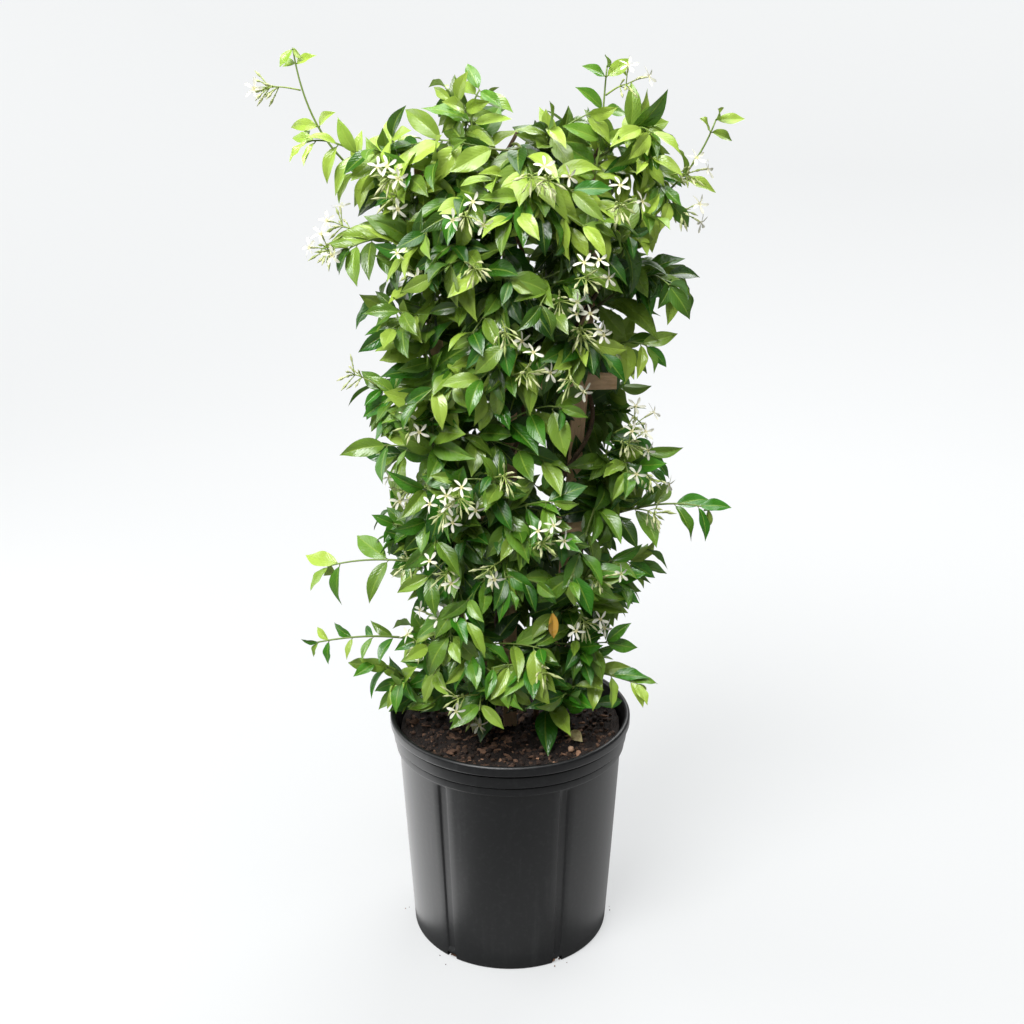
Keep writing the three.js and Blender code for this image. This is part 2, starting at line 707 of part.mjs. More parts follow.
// Side stems first, then flower heads, then leaves, so that each finds the free space left for it.
const grown = SHOOTS.map((shoot, i) => {
  const name = `shoot_${number(i)}`;
  for (let k = 0; k < SHOOT_TRIES; k++) {
    const path = shootPath(shoot, k);
    if (!isClear(shootGeometry(path, 0.5))) continue;
    const stem = shootGeometry(path);
    place(stem, name);
    return { shoot, name, path, fork: null, solid: solidOf(stem) };
  }
  throw new Error(`${name} finds no clear way`);
});

for (const stem of grown.filter(({ shoot }) => shoot.fork)) {
  for (let k = 0; k < TRIES; k++) {
    const fork = forkPath(stem.shoot, stem.path, k);
    const geometry = forkGeometry(fork);
    const joined = stem.solid.add(solidOf(geometry));
    if (!isClear(forkGeometry(fork, 0.5), [stem.name]) || !hasCleanSeams(joined)) continue;
    place(geometry, stem.name);
    stem.solid = joined;
    stem.fork = fork;
    break;
  }
}

grown
  .filter(({ shoot }) => shoot.flowers)
  .forEach(({ shoot, path }, i) => {
    const base = chordOf(path, SHOOT.steps)(HEAD_AT);
    const outward = at(base.x, base.y, 0).normalize();
    const head = {
      base,
      outward,
      aside: at(-outward.y, outward.x, 0),
      stars: i % 3 ? 2 : 1,
      buds: i % 3 ? 1 : 2,
      seed: shoot.seed + 29,
    };
    for (let k = 0; k < HEAD_TRIES; k++) {
      if (!headGeometries(head, k, 0.4).every((piece) => isClear(piece))) continue;
      const pieces = headGeometries(head, k);
      const joined = fused(pieces);
      if (!hasCleanSeams(joined)) continue;
      const name = `flowers_${number(i)}`;
      pieces.forEach((piece) => place(piece, name));
      addNode(name, geometryFrom(joined), MATERIALS.flower);
      return;
    }
    throw new Error(`flower head ${i} finds no room`);
  });

// Opposite leaves share their foot, so the second of a pair may touch the first, and both their own stem.
function growLeaf(stem, path, steps, spot, side, seed, sibling) {
  for (let k = 0; k < TRIES; k++) {
    const leaf = leafAt(stem.shoot, path, steps, spot, side, seed, k);
    const room = surfaceOf(bladeGeometry(leaf, BLADE.margin));
    const others = placed.filter((piece) => piece.owner !== stem.name && piece !== sibling);
    if (others.some((piece) => crosses(room, piece))) continue;
    const blade = bladeGeometry(leaf);
    const joined = stem.solid.add(solidOf(blade));
    if (!hasCleanSeams(joined)) continue;
    const surface = { ...surfaceOf(blade), owner: `leaf of ${stem.name}` };
    placed.push(surface);
    stem.solid = joined;
    return surface;
  }
  return null;
}

function growPair(stem, path, steps, spot, seed) {
  const first = growLeaf(stem, path, steps, spot, 1, seed, null);
  growLeaf(stem, path, steps, spot, -1, seed + 1, first);
}

for (const stem of grown) {
  leafSpots(stem.shoot).forEach((spot, k) =>
    growPair(stem, stem.path, SHOOT.steps, spot, stem.shoot.seed + 100 + 2 * k),
  );
  if (stem.fork)
    FORK_SPOTS.forEach((spot, k) => growPair(stem, stem.fork, FORK.steps, spot, stem.shoot.seed + 200 + 2 * k));
}
for (const { name, shoot, solid } of grown)
  addNode(name, geometryFrom(solid), shoot.youth > 0.5 ? MATERIALS.young : MATERIALS.leaf);

export default plant;
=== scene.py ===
# Star jasmine in flower on a slatted wooden trellis, in a black nursery pot.
# The plant's growth is worked out in millimetres, +Z up and front towards -Y. Meshes are made in metres.

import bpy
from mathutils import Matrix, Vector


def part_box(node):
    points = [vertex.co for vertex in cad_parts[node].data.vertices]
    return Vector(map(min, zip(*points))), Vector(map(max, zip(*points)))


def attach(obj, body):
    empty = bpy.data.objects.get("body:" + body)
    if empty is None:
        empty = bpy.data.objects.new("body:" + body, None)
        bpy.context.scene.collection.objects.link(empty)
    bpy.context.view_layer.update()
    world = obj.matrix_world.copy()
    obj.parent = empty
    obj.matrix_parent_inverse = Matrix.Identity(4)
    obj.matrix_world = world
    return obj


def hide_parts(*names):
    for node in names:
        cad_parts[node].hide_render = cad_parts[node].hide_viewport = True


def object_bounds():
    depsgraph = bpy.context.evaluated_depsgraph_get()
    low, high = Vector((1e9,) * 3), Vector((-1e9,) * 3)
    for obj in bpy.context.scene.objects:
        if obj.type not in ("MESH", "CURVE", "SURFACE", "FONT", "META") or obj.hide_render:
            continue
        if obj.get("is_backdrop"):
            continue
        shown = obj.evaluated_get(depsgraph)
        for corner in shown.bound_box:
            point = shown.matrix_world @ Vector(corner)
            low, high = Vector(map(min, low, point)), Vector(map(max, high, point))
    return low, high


bl_info = {
    "name": "Star jasmine on a trellis",
    "version": (1, 0, 0),
    "blender": (4, 5, 0),
    "location": "View3D > Sidebar > Star jasmine",
    "description": "Builds a potted star jasmine in flower on a trellis, round its solid model",
    "category": "Add Mesh",
}

from dataclasses import dataclass
from functools import cache
from itertools import combinations
from math import ceil, cos, floor, pi, radians, sin, sqrt

import bpy
import numpy as np
from bpy.props import FloatProperty, FloatVectorProperty, IntProperty, PointerProperty
from mathutils import Vector

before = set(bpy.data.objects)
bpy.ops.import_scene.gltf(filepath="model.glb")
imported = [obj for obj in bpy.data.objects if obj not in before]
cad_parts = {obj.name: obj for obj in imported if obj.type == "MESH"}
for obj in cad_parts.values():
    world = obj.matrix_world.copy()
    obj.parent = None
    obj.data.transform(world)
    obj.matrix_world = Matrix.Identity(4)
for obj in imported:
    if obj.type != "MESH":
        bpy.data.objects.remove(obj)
CAD_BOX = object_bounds()

MM = 0.001
TURN = 2 * pi
UP = Vector((0, 0, 1))
FRONT = Vector((0, -1, 0))
BODY = "root"

# ---- sizes that the solid model shares, in millimetres ----
_, POT_HIGH = (Vector(corner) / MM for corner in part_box("pot"))
POT_TOP = POT_HIGH.z
LIP_RADIUS = POT_HIGH.y
BAND_RADIUS = LIP_RADIUS - 3.9
RING_RADIUS = LIP_RADIUS - 6.1
BODY_TOP_RADIUS = 132
BASE_RADIUS = 118.5
POT_WALL = 2.4
POT_FLOOR = 3
FLUTE_ANGLES = [radians(a) for a in (-35.6, 28, 87, 146, 205.5, 265)]
FLUTE_DEPTH = 2.6
FLUTE_OUTER, FLUTE_INNER = radians(2.9), radians(2)
FLUTE_BOTTOM, FLUTE_TOP = 11, 240
DRAIN_WIDTH, DRAIN_HEIGHT, DRAIN_REACH = 13, 7.5, 16
SOIL_TOP = 257
SOIL_CLEAR = 4.2
STAKE_TOP, STAKE_BOTTOM = 905, 112
STAKE_WIDTH, STAKE_DEPTH = 16, 8
STAKE_FOOT_SPREAD, STAKE_TOP_SPREAD = 52, 92
SEAT = 0.3
SLAT_FIRST, SLAT_PITCH, SLAT_COUNT = 351, 164.5, 4
SLAT_HEIGHT, SLAT_DEPTH, SLAT_HALF, SLAT_GROWTH = 18, 6, 106, 5
VINE_BOTTOM = 190
VINE_RADIUS, VINE_TIP_RADIUS = 3.6, 2
VINE_SWING_X, VINE_SWING_Y = 15.5, 13.5
VINE_TRAINED = (264, 338)
VINE_STEPS = 26


@dataclass
class Vine:
    name: str
    side: int
    foot: tuple
    top: float


VINES = [
    Vine("vine_left", -1, (-27, 20), 925),
    Vine("vine_centre", 0, (4, 22), 940),
    Vine("vine_right", 1, (31, 19), 928),
]

# ---- seeded draws and small helpers ----
WORD = 0xFFFFFFFF
# Seeds of what the solid model grows, and the step from one shoot to the next.
LONE_SEED, GENERAL_SEED, SHAPE_SEED, SEED_STEP = 5000, 2000, 1400, 40
# Seeds of what is added to it.
POT_SEED, SOIL_SEED, CRUMB_SEED, WOOD_SEED, VINE_SEED = 77, 31, 402, 55, 600
MORE_SEED, MORE_SHAPE_SEED, MORE_STEP, BLOOM_SEED = 12000, 8200, 700, 900
DRY_SEED, YELLOW_SEED, PEBBLE_SEED = 71, 72, 73
# What is added to a shoot's seed for its parts.
FORK_DRAWS, HEAD_DRAWS, PAIR_DRAWS, FORK_PAIR_DRAWS = 17, 29, 100, 200
FILL_DRAWS, FILL_LEAF_DRAWS = 401, 500


def draws_from(seed):
    """Returns a function that gives the same even draws from 0 to 1 for the same seed."""
    state = seed & WORD

    def draw():
        nonlocal state
        state = (state + 0x6D2B79F5) & WORD
        t = state
        t = ((t ^ (t >> 15)) * (t | 1)) & WORD
        t ^= (t + (t ^ (t >> 7)) * (t | 61)) & WORD
        return (t ^ (t >> 14)) / (WORD + 1)

    return draw


def spread(draw, amount):
    return (2 * draw() - 1) * amount


def mix(a, b, t):
    return a + (b - a) * t


def smooth(low, high, value):
    t = min(1, max(0, (value - low) / (high - low)))
    return t * t * (3 - 2 * t)


def bezier(p0, p1, p2, p3):
    def point(t):
        s = 1 - t
        return p0 * (s * s * s) + p1 * (3 * s * s * t) + p2 * (3 * s * t * t) + p3 * (t * t * t)

    return point


def chord_of(path, steps):
    """The same path as the straight pieces that the solid stem of so many steps is made of."""

    def point(t):
        k = min(steps - 1, floor(t * steps))
        return path(k / steps).lerp(path((k + 1) / steps), t * steps - k)

    return point


def tangent_of(path, t):
    step = 0.01
    return (path(min(1, t + step)) - path(max(0, t - step))).normalized()


def across_from(tangent):
    """A direction square to a stem, which the solid stem's first corner lies along."""
    return (Vector((1, 0, 0)) if abs(tangent.z) > 0.9 else UP).cross(tangent).normalized()


# ---- the solid model's growth rule, repeated so that every fine leaf lies on a solid one ----
def stake_x(side, z):
    return side * mix(STAKE_FOOT_SPREAD, STAKE_TOP_SPREAD, (z - SOIL_TOP) / (STAKE_TOP - SOIL_TOP))


def vine_path(vine):
    def point(t):
        z = mix(VINE_BOTTOM, vine.top, t)
        turn = pi / 2 + TURN * max(0, z - SLAT_FIRST) / SLAT_PITCH
        trained = smooth(*VINE_TRAINED, z)
        x = mix(vine.foot[0], stake_x(vine.side, z) + VINE_SWING_X * cos(turn), trained)
        return Vector((x, mix(vine.foot[1], VINE_SWING_Y * sin(turn), trained), z))

    return point


def vine_radius(t):
    return mix(VINE_RADIUS, VINE_TIP_RADIUS, t)


@dataclass
class Shoot:
    """A leafy side stem: the vine that it leaves, where it reaches, and what it bears."""

    vine: int
    tip: Vector
    end: Vector
    rise: float
    pairs: int
    leaf: float
    youth: float
    seed: int
    fork: tuple = None
    flowers: bool = False


# Height, reach to the left and to the right, and depth of the mass of leafy stems.
OUTLINE = [
    (300, 112, 100, 84),
    (420, 104, 100, 92),
    (545, 108, 116, 98),
    (680, 126, 112, 100),
    (800, 132, 122, 104),
    (880, 140, 132, 104),
    (940, 118, 118, 82),
]


def outline_at(z):
    k = max(1, next((i for i, level in enumerate(OUTLINE) if level[0] >= z), len(OUTLINE) - 1))
    low, high = OUTLINE[k - 1], OUTLINE[k]
    t = (z - low[0]) / (high[0] - low[0])
    return [mix(a, b, t) for a, b in zip(low[1:], high[1:])]


def vine_for(x, middle):
    """The vine that a stem leaves: the centre one where it grows this near to the middle."""
    return 0 if x < -middle else 2 if x > middle else 1


def crown_youth(z):
    """How young the shoots of the mass are: half young in the crown."""
    return smooth(780, 960, z) * 0.5


# How far along each general shoot its fork starts, and where the fork reaches.
FORKS = [
    (0.6, 71, 69, 385),
    (0.45, -58, 77, 527),
    (0.6, 33, -81, 398),
    (0.6, 75, -48, 394),
    (0.45, -64, -90, 409),
    (0.3, 139, 37, 450),
    (0.6, -123, -4, 596),
    (0.45, 52, -83, 670),
    (0.3, 4, 112, 623),
    (0.3, 47, -93, 572),
    (0.5, 63, -92, 480),
    (0.3, 42, 89, 823),
    (0.45, 46, -62, 601),
    (0.3, 25, -66, 716),
    (0.6, 119, -60, 844),
    (0.45, -136, 3, 770),
    (0.3, 135, 69, 633),
    (0.3, -16, 72, 734),
    (0.45, 117, -36, 873),
    (0.3, -93, -38, 926),
    (0.3, 10, -98, 804),
    (0.3, -28, -8, 891),
]
GENERAL_SHOOTS = len(FORKS)
GOLDEN = 0.618034
PHASE = 0.8


def general_shoot(i):
    draw = draws_from(SHAPE_SEED + i)
    z = mix(322, 952, (i + 0.5) / GENERAL_SHOOTS)
    left, right, depth = outline_at(z)
    even = 2 * ((i * GOLDEN + PHASE) % 1) - 1
    share = (1 if even > 0 else -1) * abs(even) ** 0.6
    face = 1 if i % 5 in (1, 3) else -1
    x = share * (left if share < 0 else right)
    y = face * depth * sqrt(1 - share * share) * mix(0.75, 1, draw())
    outward = Vector((x / 140, y / 100, 0)).normalized()
    sideways = Vector((-outward.y, outward.x, 0))
    climb = -1 if draw() < 0.35 else 1
    swerve = spread(draw, 0.7)
    lift = climb * mix(0.3, 1, draw())
    return Shoot(
        vine=vine_for(x, 45),
        tip=Vector((x, y, z)),
        end=(outward * 0.35 + sideways * swerve + UP * lift).normalized(),
        rise=climb * mix(70, 150, draw()),
        pairs=5,
        leaf=mix(62, 71, draw()),
        youth=crown_youth(z),
        seed=GENERAL_SEED + i * SEED_STEP,
        fork=(FORKS[i][0], Vector(FORKS[i][1:])),
        flowers=face < 0 and i % 3 > 0,
    )


# Shoots that stand out of the mass: vine, tip, end direction, rise, pairs, leaf length and youth.
LONE_SHOOTS = [
    (0, (-217, -12, 1024), (-0.1, 0, 1), 150, 3, 42, 0.9),
    (0, (-206, -26, 932), (-0.9, -0.1, -0.15), 40, 4, 50, 0.6),
    (2, (98, -10, 1006), (0.1, 0, 1), 120, 4, 50, 0.8),
    (2, (210, -14, 955), (0.3, 0, 0.9), 110, 3, 54, 0.7),
    (1, (-30, -12, 982), (0.5, -0.1, 0.7), 70, 3, 60, 0.7),
    (0, (-166, -30, 826), (-0.8, -0.2, -0.4), 10, 5, 62, 0.3),
    (2, (172, -30, 796), (0.9, -0.1, -0.3), 40, 3, 70, 0.1),
    (2, (146, -22, 722), (0.75, -0.2, -0.3), 30, 4, 58, 0.2),
    (2, (222, -24, 540), (0.95, -0.1, -0.2), 30, 5, 54, 0.1),
    (0, (-204, -38, 476), (-0.95, -0.1, -0.25), 10, 3, 66, 0.4),
    (0, (-222, -26, 378), (-0.95, 0, -0.2), 20, 5, 40, 0.3),
    (2, (146, -50, 338), (0.95, -0.2, -0.2), 30, 4, 54, 0.3),
    (1, (-34, -104, 330), (-0.1, -0.8, -0.45), 50, 4, 62, 0.4),
]
LONE_WITH_FLOWERS = (0, 2, 5, 12)


def lone_shoot(i, row):
    vine, tip, end, rise, pairs, leaf, youth = row
    end = Vector(end).normalized()
    has_flowers = i in LONE_WITH_FLOWERS
    seed = LONE_SEED + i * SEED_STEP
    return Shoot(vine, Vector(tip), end, rise, pairs, leaf, youth, seed, flowers=has_flowers)


SHOOTS = [lone_shoot(i, row) for i, row in enumerate(LONE_SHOOTS)]
SHOOTS += [general_shoot(i) for i in range(GENERAL_SHOOTS)]
SHOOT_STEPS = 6
SHOOT_RADIUS = 1.7
FORK_RADIUS, FORK_STEPS, FORK_STRAY = 1.4, 3, 3
FORK_SPOTS = [(0.56, 0.3, 0.95), (0.94, 0.1, 0.88)]
LAST_PAIR = 0.92
TRIES, SHOOT_TRIES, HEAD_TRIES = 24, 36, 200
TRY_STRIDE = 7919


def shoot_path(shoot, k):
    vine = VINES[shoot.vine]
    path = vine_path(vine)
    step = floor(k / 3)
    height = shoot.tip.z - shoot.rise + (1 if step % 2 else -1) * ceil(step / 2) * 11
    height = min(vine.top - 12, max(SOIL_TOP + 22, height))
    t = (height - VINE_BOTTOM) / (vine.top - VINE_BOTTOM)
    axis = chord_of(path, VINE_STEPS)(t)
    outward = shoot.tip - axis
    outward.z = 0
    outward.normalize()
    leaving = (outward + UP.cross(outward) * (0, 1, -1)[k % 3]).normalized()
    start = axis + leaving * (vine_radius(t) + 1.3)
    reach = (shoot.tip - start).length
    return bezier(
        start,
        start + leaving * (0.36 * reach) + UP * (0.1 * reach),
        shoot.tip - shoot.end * (0.42 * reach),
        shoot.tip,
    )


def fork_path(shoot, path, k):
    where, tip = shoot.fork
    draw = draws_from(shoot.seed + FORK_DRAWS + k * TRY_STRIDE)
    start = chord_of(path, SHOOT_STEPS)(where)
    tip = tip + Vector([spread(draw, FORK_STRAY + k) for _ in range(3)])
    reach = (tip - start).length
    straight = (tip - start).normalized()
    leaving = (straight + tangent_of(path, where)).normalized()
    bend = tip - straight * (0.33 * reach) + UP * (mix(0, 0.16, draw()) * reach)
    return bezier(start, start + leaving * (0.33 * reach), bend, tip)


@dataclass
class Leaf:
    base: Vector
    direction: Vector
    normal: Vector
    length: float
    width: float
    sag: float
    youth: float
    seed: int
    # The tone in single is a random draw with painted light and shade: darker deep inside the plant and under
    # its crown, paler on its skin.
    single: float = 0.5

    def middle(self, u):
        """The middle of the blade at a share u of its length."""
        bent = self.direction * (u * self.length) - self.normal * (self.sag * self.length * u * u)
        return self.base + bent


def leaf_at(shoot, path, steps, spot, side, seed, k):
    """One leaf of a pair. A spot is where on the stem, how far the pair is turned and its size."""
    t, turn, size = spot
    draw = draws_from(seed + k * TRY_STRIDE)
    base = chord_of(path, steps)(t)
    tangent = tangent_of(path, t)
    light = Vector((base.x / 260, -0.7 if base.y < 12 else 0.7, 0.6)).normalized()
    flat = light.cross(tangent).normalized()
    swing = turn + spread(draw, 0.35 + 0.06 * k)
    aside = flat * (side * cos(swing)) + light * sin(swing)
    forward = mix(0.35, 0.85, draw())
    direction = (aside + tangent * forward - UP * mix(0.25, 0.75, draw())).normalized()
    normal = light + tangent * spread(draw, 0.25) + flat * spread(draw, 0.35)
    normal = (normal - direction * normal.dot(direction)).normalized()
    length = shoot.leaf * size * mix(0.88, 1.08, draw())
    width = length * mix(0.5, 0.58, draw())
    sag = 0.22 * mix(0.3, 1.5, draw())
    return Leaf(base, direction, normal, length, width, sag, shoot.youth, seed)


def leaf_spots(shoot):
    first = 0.42 if shoot.fork else 0.3
    for k in range(shoot.pairs):
        share = k / (shoot.pairs - 1)
        yield mix(first, LAST_PAIR, share), 0.5 if k % 2 else 0.05, mix(1.06, 0.74, share)


@dataclass
class Star:
    centre: Vector
    facing: Vector
    spin: float
    pedicel: object


@dataclass
class Head:
    """A flower head: its stalk, its open stars and its buds, each at the end of a thin pedicel."""

    stalk: object
    stars: list
    buds: list
    seed: int


HEAD_AT = 0.8
STALK, PEDICEL, STALK_RADIUS = 34, 24, 0.9
SPLAY = 0.8


def splayed(direction, angle, forward, droop):
    """One of the directions that spread round the end of a stem."""
    across = UP.cross(direction).normalized()
    third = direction.cross(across)
    lean = direction * forward + across * (SPLAY * cos(angle)) + third * (SPLAY * sin(angle)) - UP * droop
    return lean.normalized()


def head_on(shoot, path, stars, buds, k, share=HEAD_AT, front=FRONT):
    """The flower head that a shoot bears, as the k-th try of the solid model places it."""
    base = chord_of(path, SHOOT_STEPS)(share)
    outward = Vector((base.x, base.y, 0)).normalized()
    aside = Vector((-outward.y, outward.x, 0))
    seed = shoot.seed + HEAD_DRAWS + k * TRY_STRIDE
    draw = draws_from(seed)
    lift = spread(draw, 0.7)
    swerve = spread(draw, 0.9)
    direction = (outward + UP * (lift + 0.1) + aside * swerve + front * 0.35).normalized()
    start = base + direction * 2.5
    end = start + direction * STALK - UP * 5
    stalk = bezier(start, start + direction * 12, start + direction * 24, end)
    root = stalk(0.92)
    head = Head(stalk, [], [], seed)
    for p in range(stars + buds):
        angle = p / (stars + buds) * TURN + spread(draw, 0.4)
        lean = splayed(direction, angle, 0.75, 0.15)
        reach = PEDICEL * mix(0.8, 1.1, draw())
        bend = root + lean * (reach * 0.5) + UP * 1.5
        pedicel = bezier(root, bend, bend, root + lean * reach)
        if p < stars:
            facing = (lean + front * 0.7 + UP * 0.18).normalized()
            head.stars.append(Star(pedicel(1) - facing * 0.2, facing, draw() * TURN, pedicel))
        else:
            head.buds.append(pedicel)
    return head


NEAR = 0.06
BLADE_THICKNESS = 0.6


def corners_of(node):
    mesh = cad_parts[node].data
    corners = np.empty(3 * len(mesh.vertices))
    mesh.vertices.foreach_get("co", corners)
    return corners.reshape(-1, 3) / MM


def has_corner(corners, point):
    """Whether the solid has a corner at this point, which tells the try that it was built from."""
    return np.abs(corners - np.array(point)).max(axis=1).min() < NEAR


def stem_corner(path, radius):
    return path(0) + across_from(tangent_of(path, 0)) * radius


def find_try(tries, make, corner, corners, what):
    for k in range(tries):
        made = make(k)
        if has_corner(corners, corner(made)):
            return made
    if what:
        raise RuntimeError(f"{what} isn't where the growth rule puts it")
    return None


@dataclass
class Grown:
    """A shoot as it grew, with its leaves and, for some, its fork, twigs and flower head."""

    name: str
    shoot: Shoot
    path: object
    leaves: list
    twigs: list
    fork: object = None
    head: Head = None


def grow_leaf(grown, corners, path, steps, spot, side, seed):
    def corner(leaf):
        tip = leaf.direction * leaf.length + leaf.normal * (BLADE_THICKNESS / 2 - leaf.sag * leaf.length)
        return leaf.base + tip

    def make(k):
        return leaf_at(grown.shoot, path, steps, spot, side, seed, k)

    leaf = find_try(TRIES, make, corner, corners, None)
    if leaf:
        grown.leaves.append(leaf)


def grow_pairs(grown, corners, path, steps, spots, seed):
    """Finds the leaves on both sides of a stem at each spot."""
    for k, spot in enumerate(spots):
        for j, side in enumerate((1, -1)):
            grow_leaf(grown, corners, path, steps, spot, side, seed + 2 * k + j)


@cache
def grown_shoots():
    """Every shoot of the solid model, found again by the growth rule."""
    grown = []
    heads = 0
    for i, shoot in enumerate(SHOOTS):
        name = f"shoot_{i + 1:02}"
        corners = corners_of(name)
        path = find_try(
            SHOOT_TRIES,
            lambda k: shoot_path(shoot, k),
            lambda path: stem_corner(path, SHOOT_RADIUS),
            corners,
            name,
        )
        stem = Grown(name, shoot, path, [], [])
        grow_pairs(stem, corners, path, SHOOT_STEPS, leaf_spots(shoot), shoot.seed + PAIR_DRAWS)
        if shoot.fork:
            stem.fork = find_try(
                TRIES,
                lambda k: fork_path(shoot, path, k),
                lambda path: path(1),
                corners,
                None,
            )
        if stem.fork:
            grow_pairs(stem, corners, stem.fork, FORK_STEPS, FORK_SPOTS, shoot.seed + FORK_PAIR_DRAWS)
        if shoot.flowers:
            stars, buds = (2, 1) if heads % 3 else (1, 2)
            heads += 1
            stem.head = find_try(
                HEAD_TRIES,
                lambda k: head_on(shoot, path, stars, buds, k),
                lambda head: stem_corner(head.stalk, STALK_RADIUS),
                corners_of(f"flowers_{heads:02}"),
                f"flowers_{heads:02}",
            )
        grown.append(stem)
    return grown


# ---- meshes: points in millimetres, with two values on each for the materials ----
class Surface:
    """The points and faces of one piece. A point also has its place along and across the blade, board or stem
    it is on, and a tone: how young or pale it is, and a draw that sets it apart from its likes;
    on a leaf the draw also carries painted light and shade, darker deep inside the plant and under its crown."""

    def __init__(self):
        self.points = []
        self.places = []
        self.tones = []
        self.faces = []
        self.finishes = []
        self.count = 0

    def add(self, points, faces, finish=0, places=(0, 0), tone=(0, 0)):
        points = np.reshape(points, (-1, 3))
        self.points.append(points)
        self.places.append(np.broadcast_to(places, (len(points), 2)))
        self.tones.append(np.broadcast_to(tone, (len(points), 2)))
        for group in faces:
            self.faces += (np.asarray(group) + self.count).tolist()
            self.finishes += [finish] * len(group)
        self.count += len(points)

    def add_sheet(self, rows, finish=0, closed=False, flip=False, tone=(0, 0)):
        """A grid of points. Its front looks along rows x columns."""
        count, columns = len(rows), len(rows[0])
        u, v = np.meshgrid(np.linspace(0, 1, count), np.linspace(0, 1, columns), indexing="ij")
        faces = grid_faces(count, columns, closed)
        places = np.stack([u.ravel(), v.ravel()], axis=1)
        self.add(rows, [faces[:, ::-1] if flip else faces], finish, places, tone)

    def add_turned(self, rings, middles, flip=False):
        """Rings of points round an axis, closed by a middle point at the first and, if given, at the last."""
        self.add_sheet(np.array(rings), closed=True, flip=flip)
        count = len(rings[0])
        around = np.arange(count)
        after = (around + 1) % count
        start, last = -len(rings) * count, -count
        first, second = (after, around) if flip else (around, after)
        fans = [fan(0, start + first, start + second), fan(1, last + second, last + first)]
        self.add(middles, fans[: len(middles)])

    def add_tube(self, path, radius_at, sides, steps, finish=0, tone=(0, 0), tone_at=None):
        """A round stem along a path, closed at both ends."""
        shares = np.linspace(0, 1, steps + 1)
        across = None
        rings = []
        turns = -np.arange(sides) / sides * TURN
        for t in shares:
            tangent = tangent_of(path, t)
            across = across or across_from(tangent)
            across = (across - tangent * across.dot(tangent)).normalized()
            third = np.array(tangent.cross(across))
            ring = np.cos(turns)[:, None] * np.array(across) + np.sin(turns)[:, None] * third
            rings.append(np.array(path(t)) + ring * radius_at(t))
        points = np.concatenate([*rings, [path(0)], [path(1)]])
        foot = len(points) - 2
        last = foot - sides
        s = np.arange(sides)
        after = (s + 1) % sides
        caps = [fan(foot, s, after), fan(foot + 1, last + after, last + s)]
        along = np.append(np.repeat(shares, sides), [0, 1])
        around = np.append(np.tile(s / sides, steps + 1), [0, 0])
        tones = tone if tone_at is None else np.array([tone_at(t) for t in along])
        faces = [grid_faces(steps + 1, sides, True), *caps]
        self.add(points, faces, finish, np.stack([along, around], axis=1), tones)

    def as_object(self, name, materials=(), crease=None):
        """Makes an object in the scene. Edges sharper than the crease stay hard."""
        mesh = bpy.data.meshes.new(name)
        mesh.from_pydata((np.concatenate(self.points) * MM).tolist(), [], self.faces)
        corner = np.empty(len(mesh.loops), np.int32)
        mesh.loops.foreach_get("vertex_index", corner)
        for layer, values in (("place", self.places), ("tone", self.tones)):
            spots = np.concatenate(values)[corner].astype(np.float32)
            mesh.uv_layers.new(name=layer).data.foreach_set("uv", spots.ravel())
        for material in materials:
            mesh.materials.append(material)
        mesh.polygons.foreach_set("material_index", self.finishes)
        mesh.polygons.foreach_set("use_smooth", [True] * len(mesh.polygons))
        if crease is not None:
            mesh.set_sharp_from_angle(angle=crease)
        mesh.update()
        if mesh.validate():
            raise RuntimeError(f"{name} has a faulty face")
        made = bpy.data.objects.new(name, mesh)
        bpy.context.scene.collection.objects.link(made)
        return made

    def piece(self, name, materials, slot, replaces=(), crease=None):
        """Makes a piece of the plant, which rides on its one body and may stand for solid nodes."""
        made = self.as_object(name, materials, crease)
        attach(made, BODY)
        if replaces:
            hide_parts(*replaces)
        return made


SHARP = radians(32)


def fan(middle, ring, after):
    """The triangles between a middle point and the points of a ring."""
    return np.stack([np.full(len(ring), middle), ring, after], axis=1)


@cache
def grid_faces(rows, columns, closed):
    """The quads between the rows of a grid, whose last column joins the first when it is closed."""
    strips = columns if closed else columns - 1
    i, j = (index.ravel() for index in np.meshgrid(range(rows - 1), range(strips), indexing="ij"))
    k = (j + 1) % columns
    below, above = i * columns, (i + 1) * columns
    return np.stack([below + j, above + j, above + k, below + k], axis=1)


# ---- materials: helpers that add nodes and join them ----
def add_node(tree, kind, inputs=None, **settings):
    """Adds a node. An input given as another node's output is joined to it, and any other is set."""
    made = tree.nodes.new(kind)
    for name, value in settings.items():
        setattr(made, name, value)
    for name, value in (inputs or {}).items():
        if isinstance(value, bpy.types.NodeSocket):
            tree.links.new(value, made.inputs[name])
        else:
            made.inputs[name].default_value = value
    return made


def calc(tree, operation, a, b=0.0):
    return add_node(tree, "ShaderNodeMath", {0: a, 1: b}, operation=operation).outputs[0]


def times(tree, a, b):
    return calc(tree, "MULTIPLY", a, b)


def plus(tree, a, b):
    return calc(tree, "ADD", a, b)


def ramp(tree, value, low, high, to_low=0.0, to_high=1.0):
    """Eases a value from one range to another."""
    inputs = {"Value": value, "From Min": low, "From Max": high, "To Min": to_low, "To Max": to_high}
    return add_node(tree, "ShaderNodeMapRange", inputs, interpolation_type="SMOOTHSTEP").outputs["Result"]


MIX_SHARE, MIX_A, MIX_B, MIX_RESULT = 0, 6, 7, 2


def blend_colours(tree, share, a, b, how="MIX"):
    inputs = {MIX_SHARE: share, MIX_A: a, MIX_B: b}
    made = add_node(tree, "ShaderNodeMix", inputs, data_type="RGBA", blend_type=how)
    return made.outputs[MIX_RESULT]


def shaded(tree, colour, value):
    """The colour made darker or lighter by a value that changes over the surface."""
    grey = add_node(tree, "ShaderNodeCombineColor", {0: value, 1: value, 2: value}).outputs["Color"]
    return blend_colours(tree, 1.0, colour, grey, "MULTIPLY")


